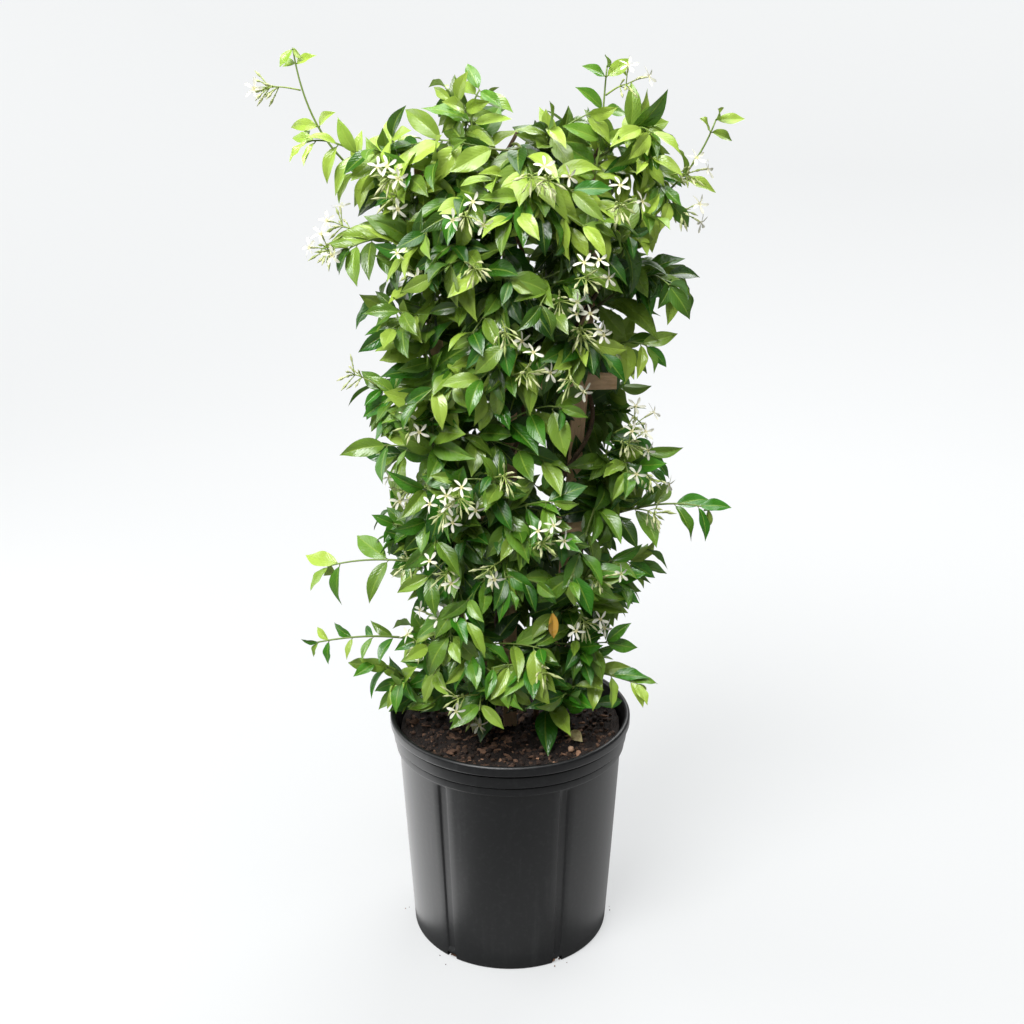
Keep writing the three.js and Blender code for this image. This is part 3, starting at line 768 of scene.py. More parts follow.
def noise(tree, place, scale, detail=3.0, roughness=0.55):
    inputs = {"Vector": place, "Scale": scale, "Detail": detail, "Roughness": roughness}
    return add_node(tree, "ShaderNodeTexNoise", inputs).outputs["Fac"]


def stretched(tree, place, x, y, z):
    inputs = {"Vector": place, "Scale": (x, y, z)}
    return add_node(tree, "ShaderNodeMapping", inputs).outputs["Vector"]


def object_place(tree):
    return add_node(tree, "ShaderNodeTexCoord").outputs["Object"]


def map_values(tree, layer):
    """The two values that a piece carries on its points under a name."""
    uv = add_node(tree, "ShaderNodeUVMap", uv_map=layer).outputs["UV"]
    parts = add_node(tree, "ShaderNodeSeparateXYZ", {"Vector": uv})
    return uv, parts.outputs["X"], parts.outputs["Y"]


def bump(tree, height, strength, distance):
    inputs = {"Height": height, "Strength": strength, "Distance": distance * MM}
    return add_node(tree, "ShaderNodeBump", inputs).outputs["Normal"]


def new_group(name, inputs, outputs):
    """An effect with named inputs and outputs, for several materials. An input is (name, kind, value)."""
    tree = bpy.data.node_groups.new(name, "ShaderNodeTree")
    for label, kind, value in inputs:
        socket = tree.interface.new_socket(name=label, in_out="INPUT", socket_type=kind)
        if value is not None:
            socket.default_value = value
    for label, kind in outputs:
        tree.interface.new_socket(name=label, in_out="OUTPUT", socket_type=kind)
    entry = tree.nodes.new("NodeGroupInput").outputs
    leave = tree.nodes.new("NodeGroupOutput").inputs
    return tree, entry, lambda label, value: tree.links.new(value, leave[label])


def use_group(tree, group, inputs):
    return add_node(tree, "ShaderNodeGroup", inputs, node_tree=group).outputs


FLOAT, VECTOR = "NodeSocketFloat", "NodeSocketVector"


@cache
def blade_group():
    """Midrib and side veins of a leaf, worked out from a point's place on the blade."""
    inputs = [("Place", VECTOR, None), ("Veins", FLOAT, 9.0), ("Slant", FLOAT, 0.32)]
    outputs = [("Midrib", FLOAT), ("Side veins", FLOAT), ("Height", FLOAT)]
    tree, entry, leave = new_group("Blade veins", inputs, outputs)
    parts = add_node(tree, "ShaderNodeSeparateXYZ", {"Vector": entry["Place"]})
    along = parts.outputs["X"]
    off = times(tree, calc(tree, "ABSOLUTE", calc(tree, "SUBTRACT", parts.outputs["Y"], 0.5)), 2.0)
    midrib = ramp(tree, off, 0.03, 0.12, 1.0, 0.0)
    slanted = calc(tree, "SUBTRACT", along, times(tree, off, entry["Slant"]))
    counted = calc(tree, "FRACT", times(tree, slanted, entry["Veins"]))
    crest = calc(tree, "ABSOLUTE", calc(tree, "SUBTRACT", counted, 0.5))
    fading = ramp(tree, off, 0.6, 1.0, 1.0, 0.0)
    veins = times(tree, ramp(tree, crest, 0.0, 0.12, 1.0, 0.0), fading)
    quilt = ramp(tree, crest, 0.0, 0.45)
    height = calc(tree, "SUBTRACT", times(tree, quilt, 0.35), midrib)
    leave("Midrib", midrib)
    leave("Side veins", veins)
    leave("Height", height)
    return tree


@cache
def mottle_group():
    """Soft patches with finer specks in them, as on soil, bark, weathered wood and dusty plastic."""
    inputs = [("Place", VECTOR, None), ("Scale", FLOAT, 40.0), ("Specks", FLOAT, 0.4)]
    tree, entry, leave = new_group("Mottle", inputs, [("Patches", FLOAT), ("Specks", FLOAT)])
    patches = noise(tree, entry["Place"], entry["Scale"])
    fine = noise(tree, entry["Place"], times(tree, entry["Scale"], 9.0), 2.0)
    specks = times(tree, ramp(tree, fine, 0.52, 0.68), entry["Specks"])
    leave("Patches", ramp(tree, patches, 0.32, 0.68))
    leave("Specks", specks)
    return tree


def mottled(tree, scale, specks):
    inputs = {"Place": object_place(tree), "Scale": scale, "Specks": specks}
    return use_group(tree, mottle_group(), inputs)


@cache
def grain_group():
    """Long fibres along a board or stem, worked out from a point's place along and across it."""
    inputs = [("Place", VECTOR, None), ("Fibres", FLOAT, 26.0), ("Stretch", FLOAT, 2.0)]
    tree, entry, leave = new_group("Grain", inputs, [("Fibres", FLOAT), ("Cracks", FLOAT)])
    scale = add_node(tree, "ShaderNodeCombineXYZ", {"X": entry["Stretch"], "Y": entry["Fibres"], "Z": 1.0})
    inputs = {0: entry["Place"], 1: scale.outputs["Vector"]}
    long_place = add_node(tree, "ShaderNodeVectorMath", inputs, operation="MULTIPLY").outputs["Vector"]
    fibres = noise(tree, long_place, 1.0, 5.0, 0.65)
    leave("Fibres", ramp(tree, fibres, 0.3, 0.7))
    leave("Cracks", ramp(tree, fibres, 0.2, 0.36, 1.0, 0.0))
    return tree


def new_material(name):
    """A bare material: its node tree and its output."""
    material = bpy.data.materials.new(name)
    material.use_nodes = True
    tree = material.node_tree
    tree.nodes.clear()
    return material, tree, tree.nodes.new("ShaderNodeOutputMaterial").inputs["Surface"]


def finish_plain(tree, out, colour, roughness, normal=None, **constants):
    """Ends a material in one Principled shader. Constants are set on its own sockets."""
    inputs = {"Base Color": colour, "Roughness": roughness}
    if normal is not None:
        inputs["Normal"] = normal
    inputs.update({name.replace("_", " "): value for name, value in constants.items()})
    shader = add_node(tree, "ShaderNodeBsdfPrincipled", inputs)
    tree.links.new(shader.outputs["BSDF"], out)
    return shader


def finish_thin(tree, out, inputs, glow, share):
    """Ends a material in a Principled shader and a share of light that shines through from behind."""
    face = add_node(tree, "ShaderNodeBsdfPrincipled", inputs).outputs["BSDF"]
    through = add_node(tree, "ShaderNodeBsdfTranslucent", glow).outputs["BSDF"]
    both = add_node(tree, "ShaderNodeMixShader", {0: share, 1: face, 2: through})
    tree.links.new(both.outputs[0], out)


def rgba(colour):
    return (*colour, 1.0)


def paint(red, green, blue):
    """A colour as it is named on a screen, from 0 to 255, as the light that shaders work with."""
    return tuple(linear(value) for value in (red, green, blue))


def linear(value):
    share = value / 255
    return share / 12.92 if value <= 10 else ((share + 0.055) / 1.055) ** 2.4


def colour_property(name, description, default):
    limits = {"min": 0.0, "max": 1.0, "size": 3, "subtype": "COLOR"}
    return FloatVectorProperty(name=name, description=description, default=default, **limits)


def length_property(name, description, default, **limits):
    return FloatProperty(name=name, description=description, default=default * MM, unit="LENGTH", **limits)


def share_property(name, description, default, high=1.0):
    limits = {"min": 0.0, "max": high, "subtype": "FACTOR"}
    return FloatProperty(name=name, description=description, default=default, **limits)


def power_property(name, description, default):
    return FloatProperty(name=name, description=f"{description}, in watts", default=default, min=0)


# ---- pot ----
class PotSettings(bpy.types.PropertyGroup):
    colour: colour_property("Plastic", "Colour of the moulded plastic", paint(9, 10, 12))
    # This share scales the real dust and also the painted reflection of the floor at the pot's foot.
    dust_and_foot_reflection: share_property("Dust", "How much pale dust lies on the plastic", 0.14)
    gloss: share_property("Roughness", "Roughness of the clean plastic", 0.4)
    wobble: length_property("Wobble", "How far the moulded wall strays from a true cone", 0.35)


def pot_radius(z):
    return mix(BASE_RADIUS, BODY_TOP_RADIUS, z / FLUTE_TOP)


def arc(radius, height, size, start, end, steps=5):
    """Points of a rounded corner in the pot's section, its angles counted from outwards to upwards."""
    angles = [radians(mix(start, end, k / steps)) for k in range(steps + 1)]
    return [(radius + size * cos(a), height + size * sin(a)) for a in angles]


BODY_ROWS = 16


def pot_section():
    """The wall's section, as radius, height and share of the flutes' depth: from the underside up the
    outside, over the lip and down the inside to the floor."""
    low, high = FLUTE_BOTTOM + 4, FLUTE_TOP - 4
    body = [(pot_radius(z), z, 1) for z in np.linspace(low, high, BODY_ROWS)]
    lip_low = POT_TOP - 12
    foot_edge, edge, lip_edge, lip_turn = 2.5, 1.2, 2.4, 3.2
    rim = [
        *arc(RING_RADIUS - edge, FLUTE_TOP + 3.4, edge, -90, 0),
        *arc(RING_RADIUS - edge, FLUTE_TOP + 10.4, edge, 0, 80),
        (RING_RADIUS - 1.5, FLUTE_TOP + 12.2),
        *arc(BAND_RADIUS - edge, FLUTE_TOP + 14.2, edge, -70, 0),
        *arc(BAND_RADIUS - edge, POT_TOP - 15.4, edge, 0, 80),
        (BAND_RADIUS - 1.6, POT_TOP - 13.4),
        *arc(LIP_RADIUS - lip_edge, lip_low + lip_edge, lip_edge, -80, 0),
        *arc(LIP_RADIUS - lip_turn, POT_TOP - lip_turn, lip_turn, 0, 150, 9),
    ]
    inner = [(pot_radius(z) - POT_WALL, z, 1) for z in np.linspace(high, low, BODY_ROWS)]
    return [
        (BASE_RADIUS - 16, 0, 0),
        *((r, z, 0) for r, z in arc(BASE_RADIUS - foot_edge, foot_edge, foot_edge, -90, 0)),
        (pot_radius(FLUTE_BOTTOM), FLUTE_BOTTOM, 0),
        (pot_radius(FLUTE_BOTTOM + 1.5), FLUTE_BOTTOM + 1.5, 0.35),
        *body,
        (pot_radius(FLUTE_TOP - 1.5), FLUTE_TOP - 1.5, 0.35),
        (BODY_TOP_RADIUS, FLUTE_TOP, 0),
        (BODY_TOP_RADIUS + 0.4, FLUTE_TOP + 1.6, 0),
        *((r, z, 0) for r, z in rim),
        (LIP_RADIUS - 6.4, POT_TOP - 3.4, 0),
        (LIP_RADIUS - 6.9, lip_low, 0),
        *inner,
        (pot_radius(FLUTE_BOTTOM) - POT_WALL, FLUTE_BOTTOM - 3, 0),
        (BASE_RADIUS - POT_WALL - 4, POT_FLOOR, 0),
    ]


def pot_columns():
    """Angles round the pot, close together at the flutes, each with its share of the flute's depth."""
    columns = []
    gap_steps = 17
    for centre, following in zip(FLUTE_ANGLES, [*FLUTE_ANGLES[1:], FLUTE_ANGLES[0] + TURN]):
        for k in range(-5, 6):
            offset = k / 5 * FLUTE_OUTER * 1.1
            sunk = 1 - smooth(FLUTE_INNER * 0.85, FLUTE_OUTER, abs(offset))
            columns.append((centre + offset, sunk))
        start, end = centre + FLUTE_OUTER * 1.1, following - FLUTE_OUTER * 1.1
        columns += [(mix(start, end, k / gap_steps), 0) for k in range(1, gap_steps)]
    return columns


def pot_material(settings):
    material, tree, out = new_material("Pot plastic")
    place = object_place(tree)
    mottle = mottled(tree, 22.0, 0.5)
    streaks = noise(tree, stretched(tree, place, 90, 90, 3), 1.0, 4.0, 0.6)
    streaks = ramp(tree, streaks, 0.5, 0.75)
    height = add_node(tree, "ShaderNodeSeparateXYZ", {"Vector": place}).outputs["Z"]
    # Painted reflection of the pale floor: the plastic is painted paler towards its foot. This is added to
    # the real dust streaks, patches and specks.
    low = ramp(tree, height, 0.0, 0.2, 0.6, 0.0)
    dust_and_foot_reflection = plus(tree, times(tree, streaks, mottle["Patches"]), low)
    dust_and_foot_reflection = plus(tree, times(tree, dust_and_foot_reflection, 0.5), times(tree, mottle["Specks"], 0.35))
    dust_and_foot_reflection = times(tree, dust_and_foot_reflection, settings.dust_and_foot_reflection)
    colour = blend_colours(tree, dust_and_foot_reflection, rgba(settings.colour), rgba(paint(116, 118, 118)))
    roughness = ramp(tree, dust_and_foot_reflection, 0.0, 0.4, settings.gloss, settings.gloss + 0.2)
    fine = noise(tree, place, 900.0, 2.0)
    finish_plain(tree, out, colour, roughness, bump(tree, fine, 0.12, 0.2), IOR=1.5)
    return material


def add_pot(settings):
    columns = pot_columns()
    draw = draws_from(POT_SEED)
    waves = [(k, draw() * TURN, draw() * TURN) for k in (2, 3, 5, 7)]
    rows = []
    for radius, height, flute in pot_section():
        row = []
        for angle, sunk in columns:
            wave = sum(sin(k * angle + phase + height / 60 + shift) / k for k, phase, shift in waves)
            stray = settings.wobble / MM * wave * 0.5 * flute
            r = radius - flute * sunk * FLUTE_DEPTH + stray
            row.append((sin(angle) * r, -cos(angle) * r, height))
        rows.append(row)
    surface = Surface()
    surface.add_turned(rows, [(0, 0, 0), (0, 0, POT_FLOOR)], flip=True)
    pot = surface.piece("nursery_pot", [pot_material(settings)], "pot_plastic", ["pot"])
    cut_drains(pot)
    rim_lit().objects.link(pot)


def cut_drains(pot):
    """Cuts the drain holes through the foot of the wall, one under each flute."""
    cutter = Surface()
    for angle in FLUTE_ANGLES:
        outward = Vector((sin(angle), -cos(angle), 0))
        middle = outward * (BASE_RADIUS - 2)
        out = outward * (DRAIN_REACH / 2)
        aside = Vector((cos(angle), sin(angle), 0)) * (DRAIN_WIDTH / 2)
        ring = [middle - out - aside, middle + out - aside, middle + out + aside, middle - out + aside]
        points = [p + UP * z for z in (-DRAIN_HEIGHT, DRAIN_HEIGHT) for p in ring]
        sides = [(k, (k + 1) % 4, (k + 1) % 4 + 4, k + 4) for k in range(4)]
        cutter.add(points, [[(3, 2, 1, 0), (4, 5, 6, 7), *sides]])
    tool = cutter.as_object("drain_cutter")
    cut = pot.modifiers.new("drains", "BOOLEAN")
    cut.operation = "DIFFERENCE"
    cut.solver = "EXACT"
    cut.object = tool
    shaped = pot.evaluated_get(bpy.context.evaluated_depsgraph_get())
    pot.data = bpy.data.meshes.new_from_object(shaped)
    pot.modifiers.clear()
    pot.data.set_sharp_from_angle(angle=SHARP)
    bpy.data.objects.remove(tool)


# ---- potting soil and the small things on it ----
class SoilSettings(bpy.types.PropertyGroup):
    dark: colour_property("Peat", "Colour of the moist peat", paint(33, 22, 17))
    light: colour_property("Bark", "Colour of the bark chips in it", paint(176, 134, 106))
    crumbs: IntProperty(name="Crumbs", description="Number of crumbs on top", default=1700, min=0)
    crumb: length_property("Crumb size", "Size of the largest crumbs", 8.0)


SOIL_EDGE = 129.6


def soil_height(x, y):
    lumps = sin(x * 0.11 + 1.3) * cos(y * 0.13) + 0.6 * sin(x * 0.31 - y * 0.27)
    return SOIL_TOP + 2.4 * lumps


def soil_heap(angle, radius):
    """How far the soil rises where it meets the wall of the pot."""
    return smooth(0.75, 1, radius / SOIL_EDGE) * (5 + 3.5 * sin(3 * angle + 1))


def soil_material(settings):
    material, tree, out = new_material("Potting soil")
    _, pale, single = map_values(tree, "tone")
    mottle = mottled(tree, 140.0, 0.8)
    share = plus(tree, times(tree, mottle["Specks"], 0.4), pale)
    colour = blend_colours(tree, share, rgba(settings.dark), rgba(settings.light))
    shade = ramp(tree, single, 0.0, 1.0, 0.55, 1.25)
    colour = shaded(tree, colour, shade)
    height = plus(tree, mottle["Patches"], mottle["Specks"])
    finish_plain(tree, out, colour, 0.9, bump(tree, height, 0.9, 1.5))
    return material


def unit_lump():
    """The corners and faces of a plain twenty-sided lump."""
    g = (1 + sqrt(5)) / 2
    corners = [(0, a, b * g) for a in (-1, 1) for b in (-1, 1)]
    corners = np.array([c[k:] + c[:k] for k in range(3) for c in corners]) / sqrt(1 + g * g)
    edge = 2 / sqrt(1 + g * g)
    near = np.abs(np.linalg.norm(corners[:, None] - corners[None], axis=2) - edge) < 0.01
    faces = []
    for a, b, c in combinations(range(len(corners)), 3):
        if near[a, b] and near[b, c] and near[a, c]:
            normal = np.cross(corners[b] - corners[a], corners[c] - corners[a])
            faces.append((a, b, c) if normal @ corners[a] > 0 else (a, c, b))
    return corners, faces


def add_lump(surface, lump, centre, sizes, draw, tone, finish=0, jag=0.3):
    """A rough crumb: the plain lump stretched, turned and with its corners pushed in and out."""
    corners, faces = lump
    turn, tilt = draw() * TURN, spread(draw, 0.9)
    jagged = corners * np.array([[1 + spread(draw, jag)] for _ in corners]) * np.array(sizes)
    spin = np.array([[cos(turn), -sin(turn), 0], [sin(turn), cos(turn), 0], [0, 0, 1]])
    lean = np.array([[1, 0, 0], [0, cos(tilt), -sin(tilt)], [0, sin(tilt), cos(tilt)]])
    surface.add(jagged @ (spin @ lean).T + np.array(centre), [faces], finish, (0, 0), tone)


SOIL_RINGS, SOIL_SPOKES = 44, 120


def soil_surface():
    draw = draws_from(SOIL_SEED)
    angles = [s / SOIL_SPOKES * TURN for s in range(SOIL_SPOKES)]
    rows = []
    for k in range(1, SOIL_RINGS + 1):
        radius = SOIL_EDGE * sqrt(k / SOIL_RINGS)
        ring = []
        for angle in angles:
            x, y = cos(angle) * radius, sin(angle) * radius
            rough = 0.0 if k == SOIL_RINGS else spread(draw, 1.3)
            ring.append((x, y, soil_height(x, y) + soil_heap(angle, radius) + rough))
        rows.append(ring)
    foot_radius = BASE_RADIUS - POT_WALL - SOIL_CLEAR - 3
    foot = POT_FLOOR + SEAT
    for radius, height in ((SOIL_EDGE - 1, SOIL_TOP - 14), (foot_radius, foot)):
        rows.append([(cos(a) * radius, sin(a) * radius, height) for a in angles])
    surface = Surface()
    surface.add_turned(rows, [(0, 0, soil_height(0, 0)), (0, 0, foot)])
    return surface


DRAIN_CRUMBS = 18
DRAIN_PLUG = (4.6, 4.6, 2.6)


def add_soil(settings):
    material = soil_material(settings)
    soil_surface().piece("potting_soil", [material], "soil", ["soil"])
    crumbs = Surface()
    lump = unit_lump()
    draw = draws_from(CRUMB_SEED)
    for _ in range(settings.crumbs):
        angle, radius = draw() * TURN, (SOIL_EDGE - 5) * sqrt(draw())
        x, y = cos(angle) * radius, sin(angle) * radius
        size = settings.crumb / MM / 2 * mix(0.25, 1, draw() ** 2.5)
        is_chip = draw() < 0.22
        sizes = (size * (2.1 if is_chip else 1.1), size, size * (0.45 if is_chip else 0.8))
        pale = mix(0.2, 1, draw() ** 1.3) if is_chip else 0.3 * draw() ** 2
        centre = (x, y, soil_height(x, y) + soil_heap(angle, radius) + size * 0.35)
        add_lump(crumbs, lump, centre, sizes, draw, (pale, draw()))
    for angle in FLUTE_ANGLES:
        reach = BASE_RADIUS - 5
        plug = (sin(angle) * reach, -cos(angle) * reach, DRAIN_PLUG[0])
        add_lump(crumbs, lump, plug, DRAIN_PLUG, draw, (0.3, 0.6), jag=0.1)
        for k in range(DRAIN_CRUMBS):
            is_stray = k > DRAIN_CRUMBS - 3
            reach = BASE_RADIUS + (mix(5, 17, draw()) if is_stray else spread(draw, 3.5) - 5)
            aside = spread(draw, DRAIN_WIDTH * (1.3 if is_stray else 0.36))
            x = sin(angle) * reach + cos(angle) * aside
            y = -cos(angle) * reach + sin(angle) * aside
            size = mix(0.5, 1, draw()) if is_stray else mix(1.2, 2.4, draw())
            z = size * 1.4 + (0 if is_stray else draw() * 2.5)
            add_lump(crumbs, lump, (x, y, z), (size,) * 3, draw, (draw(), draw()))
    crumbs.piece("soil_crumbs", [material], "soil", crease=SHARP)


# ---- trellis ----
class TrellisSettings(bpy.types.PropertyGroup):
    light: colour_property("Light wood", "Colour of the wood between its fibres", paint(240, 202, 164))
    dark: colour_property("Dark wood", "Colour of the fibres and the weathered grain", paint(190, 148, 114))


def wood_material(settings):
    material, tree, out = new_material("Trellis wood")
    place, _, _ = map_values(tree, "place")
    _, _, single = map_values(tree, "tone")
    grain = use_group(tree, grain_group(), {"Place": place, "Fibres": 22.0, "Stretch": 5.0})
    mottle = mottled(tree, 18.0, 0.5)
    share = times(tree, grain["Fibres"], 0.75)
    colour = blend_colours(tree, share, rgba(settings.light), rgba(settings.dark))
    grey = times(tree, mottle["Patches"], ramp(tree, single, 0.0, 1.0, 0.1, 0.45))
    colour = blend_colours(tree, grey, colour, rgba(paint(168, 146, 124)))
    height = calc(tree, "SUBTRACT", grain["Fibres"], grain["Cracks"])
    finish_plain(tree, out, colour, 0.78, bump(tree, height, 0.6, 0.6))
    return material


def add_board(surface, start, end, across, width, depth, draw):
    """A sawn board with eased edges and slightly wavy faces, between two points."""
    reach = (end - start).length
    out = (end - start).normalized().cross(across).normalized()
    half_width, half_depth = width / 2, depth / 2
    ease = 0.9
    outline = [
        (half_width - ease, -half_depth),
        (half_width, -half_depth + ease),
        (half_width, half_depth - ease),
        (half_width - ease, half_depth),
        (-half_width + ease, half_depth),
        (-half_width, half_depth - ease),
        (-half_width, -half_depth + ease),
        (-half_width + ease, -half_depth),
    ]
    steps = max(4, round(reach / 16))
    phase = draw() * TURN
    rows = []
    for k in range(steps + 1):
        centre = start.lerp(end, k / steps)
        inset = 1 - 0.06 * (k in (0, steps))
        wave = 0.25 * sin(phase + k * 0.9)
        rows.append([centre + across * (x * inset - abs(wave)) + out * (y * inset) for x, y in outline])
    count = len(outline)
    points = np.array(rows).reshape(-1, 3)
    last = len(points) - count
    places = [(k / steps * reach / 100, j / count) for k in range(steps + 1) for j in range(count)]
    ends = [tuple(range(count)), tuple(range(last, last + count))[::-1]]
    faces = grid_faces(steps + 1, count, True)
    signed = np.cross(points[count] - points[0], points[1] - points[0]) @ (points[0] - np.array(start))
    if signed < 0:
        faces, ends = faces[:, ::-1], [face[::-1] for face in ends]
    surface.add(points, [faces, ends], 0, places, (0, draw()))


def add_trellis(settings):
    material = wood_material(settings)
    draw = draws_from(WOOD_SEED)
    right = Vector((1, 0, 0))
    for name, side in (("stake_left", -1), ("stake_centre", 0), ("stake_right", 1)):
        low, high = (Vector((stake_x(side, z), 0, z)) for z in (STAKE_BOTTOM + 1, STAKE_TOP - 1))
        across = UP.cross(high - low).cross(high - low).normalized() if side else right
        stake = Surface()
        add_board(stake, low, high, across, STAKE_WIDTH, STAKE_DEPTH, draw)
        stake.piece(f"{name}_board", [material], "trellis_wood", [name], SHARP)
    y = -(STAKE_DEPTH + SLAT_DEPTH) / 2 - SEAT
    for k in range(SLAT_COUNT):
        half = SLAT_HALF + k * SLAT_GROWTH
        z = SLAT_FIRST + k * SLAT_PITCH
        slat = Surface()
        add_board(slat, Vector((-half, y, z)), Vector((half, y, z)), UP, SLAT_HEIGHT, SLAT_DEPTH, draw)
        slat.piece(f"slat_{k + 1:02}_board", [material], "trellis_wood", [f"slat_{k + 1:02}"], SHARP)


# ---- vines ----
class VineSettings(bpy.types.PropertyGroup):
    bark: colour_property("Bark", "Colour of the woody stems", paint(96, 74, 54))
    dark: colour_property("Dark bark", "Colour of the bark's furrows", paint(46, 34, 26))
    knots: length_property("Knots", "How far the knots stand out of the stem", 0.9)


def bark_material(settings):
    material, tree, out = new_material("Vine bark")
    place, _, _ = map_values(tree, "place")
    grain = use_group(tree, grain_group(), {"Place": place, "Fibres": 9.0, "Stretch": 60.0})
    mottle = mottled(tree, 60.0, 0.8)
    share = times(tree, grain["Fibres"], mottle["Patches"])
    colour = blend_colours(tree, share, rgba(settings.bark), rgba(settings.dark))
    specks = times(tree, mottle["Specks"], 0.4)
    colour = blend_colours(tree, specks, colour, rgba(paint(150, 134, 112)))
    finish_plain(tree, out, colour, 0.8, bump(tree, grain["Fibres"], 0.7, 0.5))
    return material


VINE_SIDES, VINE_FINE_STEPS = 10, 130


def add_vines(settings):
    material = bark_material(settings)
    for vine in VINES:
        draw = draws_from(VINE_SEED + vine.side)
        knots = [(draw(), mix(0.5, 1, draw())) for _ in range(16)]

        def radius_at(t):
            knot = max(size * (1 - smooth(0, 0.008, abs(t - place))) for place, size in knots)
            return vine_radius(t) * 0.97 + settings.knots / MM * knot * 0.6

        stem = Surface()
        stem.add_tube(vine_path(vine), radius_at, VINE_SIDES, VINE_FINE_STEPS)
        stem.piece(f"{vine.name}_stem", [material], "vine_bark", [vine.name])


# ---- leafy shoots ----
class FoliageSettings(bpy.types.PropertyGroup):
    # Deep green is also painted shade and fresh green painted light. Leaves deep inside the plant and under
    # its crown are painted towards deep green, and those on its skin towards fresh green and lime, partly as
    # painted light.
    deep: colour_property("Deep green", "Colour of the oldest leaves", paint(4, 41, 7))
    fresh: colour_property("Fresh green", "Colour of the full-grown leaves", paint(55, 126, 25))
    lime: colour_property("Lime green", "Colour of the youngest leaves", paint(166, 194, 76))
    under: colour_property("Underside", "Colour of the back of a leaf", paint(96, 130, 74))
    fading: colour_property("Fading leaf", "Colour of a leaf that is about to drop", paint(204, 156, 62))
    stem: colour_property("Green stem", "Colour of the youngest stems", paint(116, 140, 62))
    old_stem: colour_property("Old stem", "Colour of stems where they leave the vine", paint(72, 58, 40))
    length: share_property("Length", "Length of a leaf as a share of the solid leaf's", 0.88, 1.2)
    breadth: share_property("Breadth", "Width of a leaf as a share of the solid leaf's", 0.76, 1.2)
    fold: share_property("Fold", "How steeply the halves of a leaf rise from its midrib", 0.55)
    curl: share_property("Curl", "How far the most curled tips hang, as a share of a leaf's length", 0.26)
    fill: share_property("Fill", "Share of the inner leaves that are grown", 1.0)


def leaf_material(settings, name, deep, fresh):
    """A glossy leaf, lit through from behind, with a paler and duller underside."""
    material, tree, out = new_material(name)
    place, _, _ = map_values(tree, "place")
    _, youth, single = map_values(tree, "tone")
    veins = use_group(tree, blade_group(), {"Place": place, "Veins": 9.0, "Slant": 0.32})
    mottle = mottled(tree, 38.0, 0.2)
    patches = times(tree, mottle["Patches"], 0.2)
    # The tone mixes deep to fresh green. It is a random draw with painted shade, and the deep green stands
    # for the shade inside the plant and under its crown.
    share = plus(tree, patches, times(tree, single, 0.8))
    green = blend_colours(tree, share, rgba(deep), rgba(fresh))
    green = blend_colours(tree, youth, green, rgba(settings.lime))
    midrib = times(tree, veins["Midrib"], 0.4)
    pale = plus(tree, midrib, times(tree, veins["Side veins"], 0.12))
    green = blend_colours(tree, pale, green, rgba(settings.lime))
    faded = ramp(tree, youth, 1.2, 1.6)
    green = blend_colours(tree, faded, green, rgba(settings.fading))
    is_back = add_node(tree, "ShaderNodeNewGeometry").outputs["Backfacing"]
    back = blend_colours(tree, 0.55, green, rgba(settings.under))
    colour = blend_colours(tree, is_back, green, back)
    gloss = ramp(tree, mottle["Patches"], 0.0, 1.0, 0.2, 0.36)
    roughness = calc(tree, "MAXIMUM", gloss, times(tree, is_back, 0.6))
    normal = bump(tree, veins["Height"], 0.5, 0.5)
    inputs = {"Base Color": colour, "Roughness": roughness, "Normal": normal, "IOR": 1.6}
    glow = blend_colours(tree, 0.25, green, rgba(settings.lime))
    finish_thin(tree, out, inputs, {"Color": glow, "Normal": normal}, 0.16)
    return material


def stem_material(settings):
    """A stem whose tone runs from old wood at 0 to green at 1."""
    material, tree, out = new_material("Green stem")
    _, youth, _ = map_values(tree, "tone")
    mottle = mottled(tree, 90.0, 0.5)
    share = plus(tree, youth, times(tree, mottle["Patches"], 0.2))
    colour = blend_colours(tree, share, rgba(settings.old_stem), rgba(settings.stem))
    finish_plain(tree, out, colour, 0.5, bump(tree, mottle["Patches"], 0.3, 0.3))
    return material


BLADE_ROWS, BLADE_COLUMNS = 12, 7
BLADE_FOOT = 0.07
STALK_SHARE = 0.1
LEAF, STEM = 0, 1


def blade_half(u):
    """Half the width of a blade at shares u of its length, as a share of its widest half."""
    return np.clip(np.sin(pi * u**0.9), 0, 1) ** mix(0.78, 1.15, u)


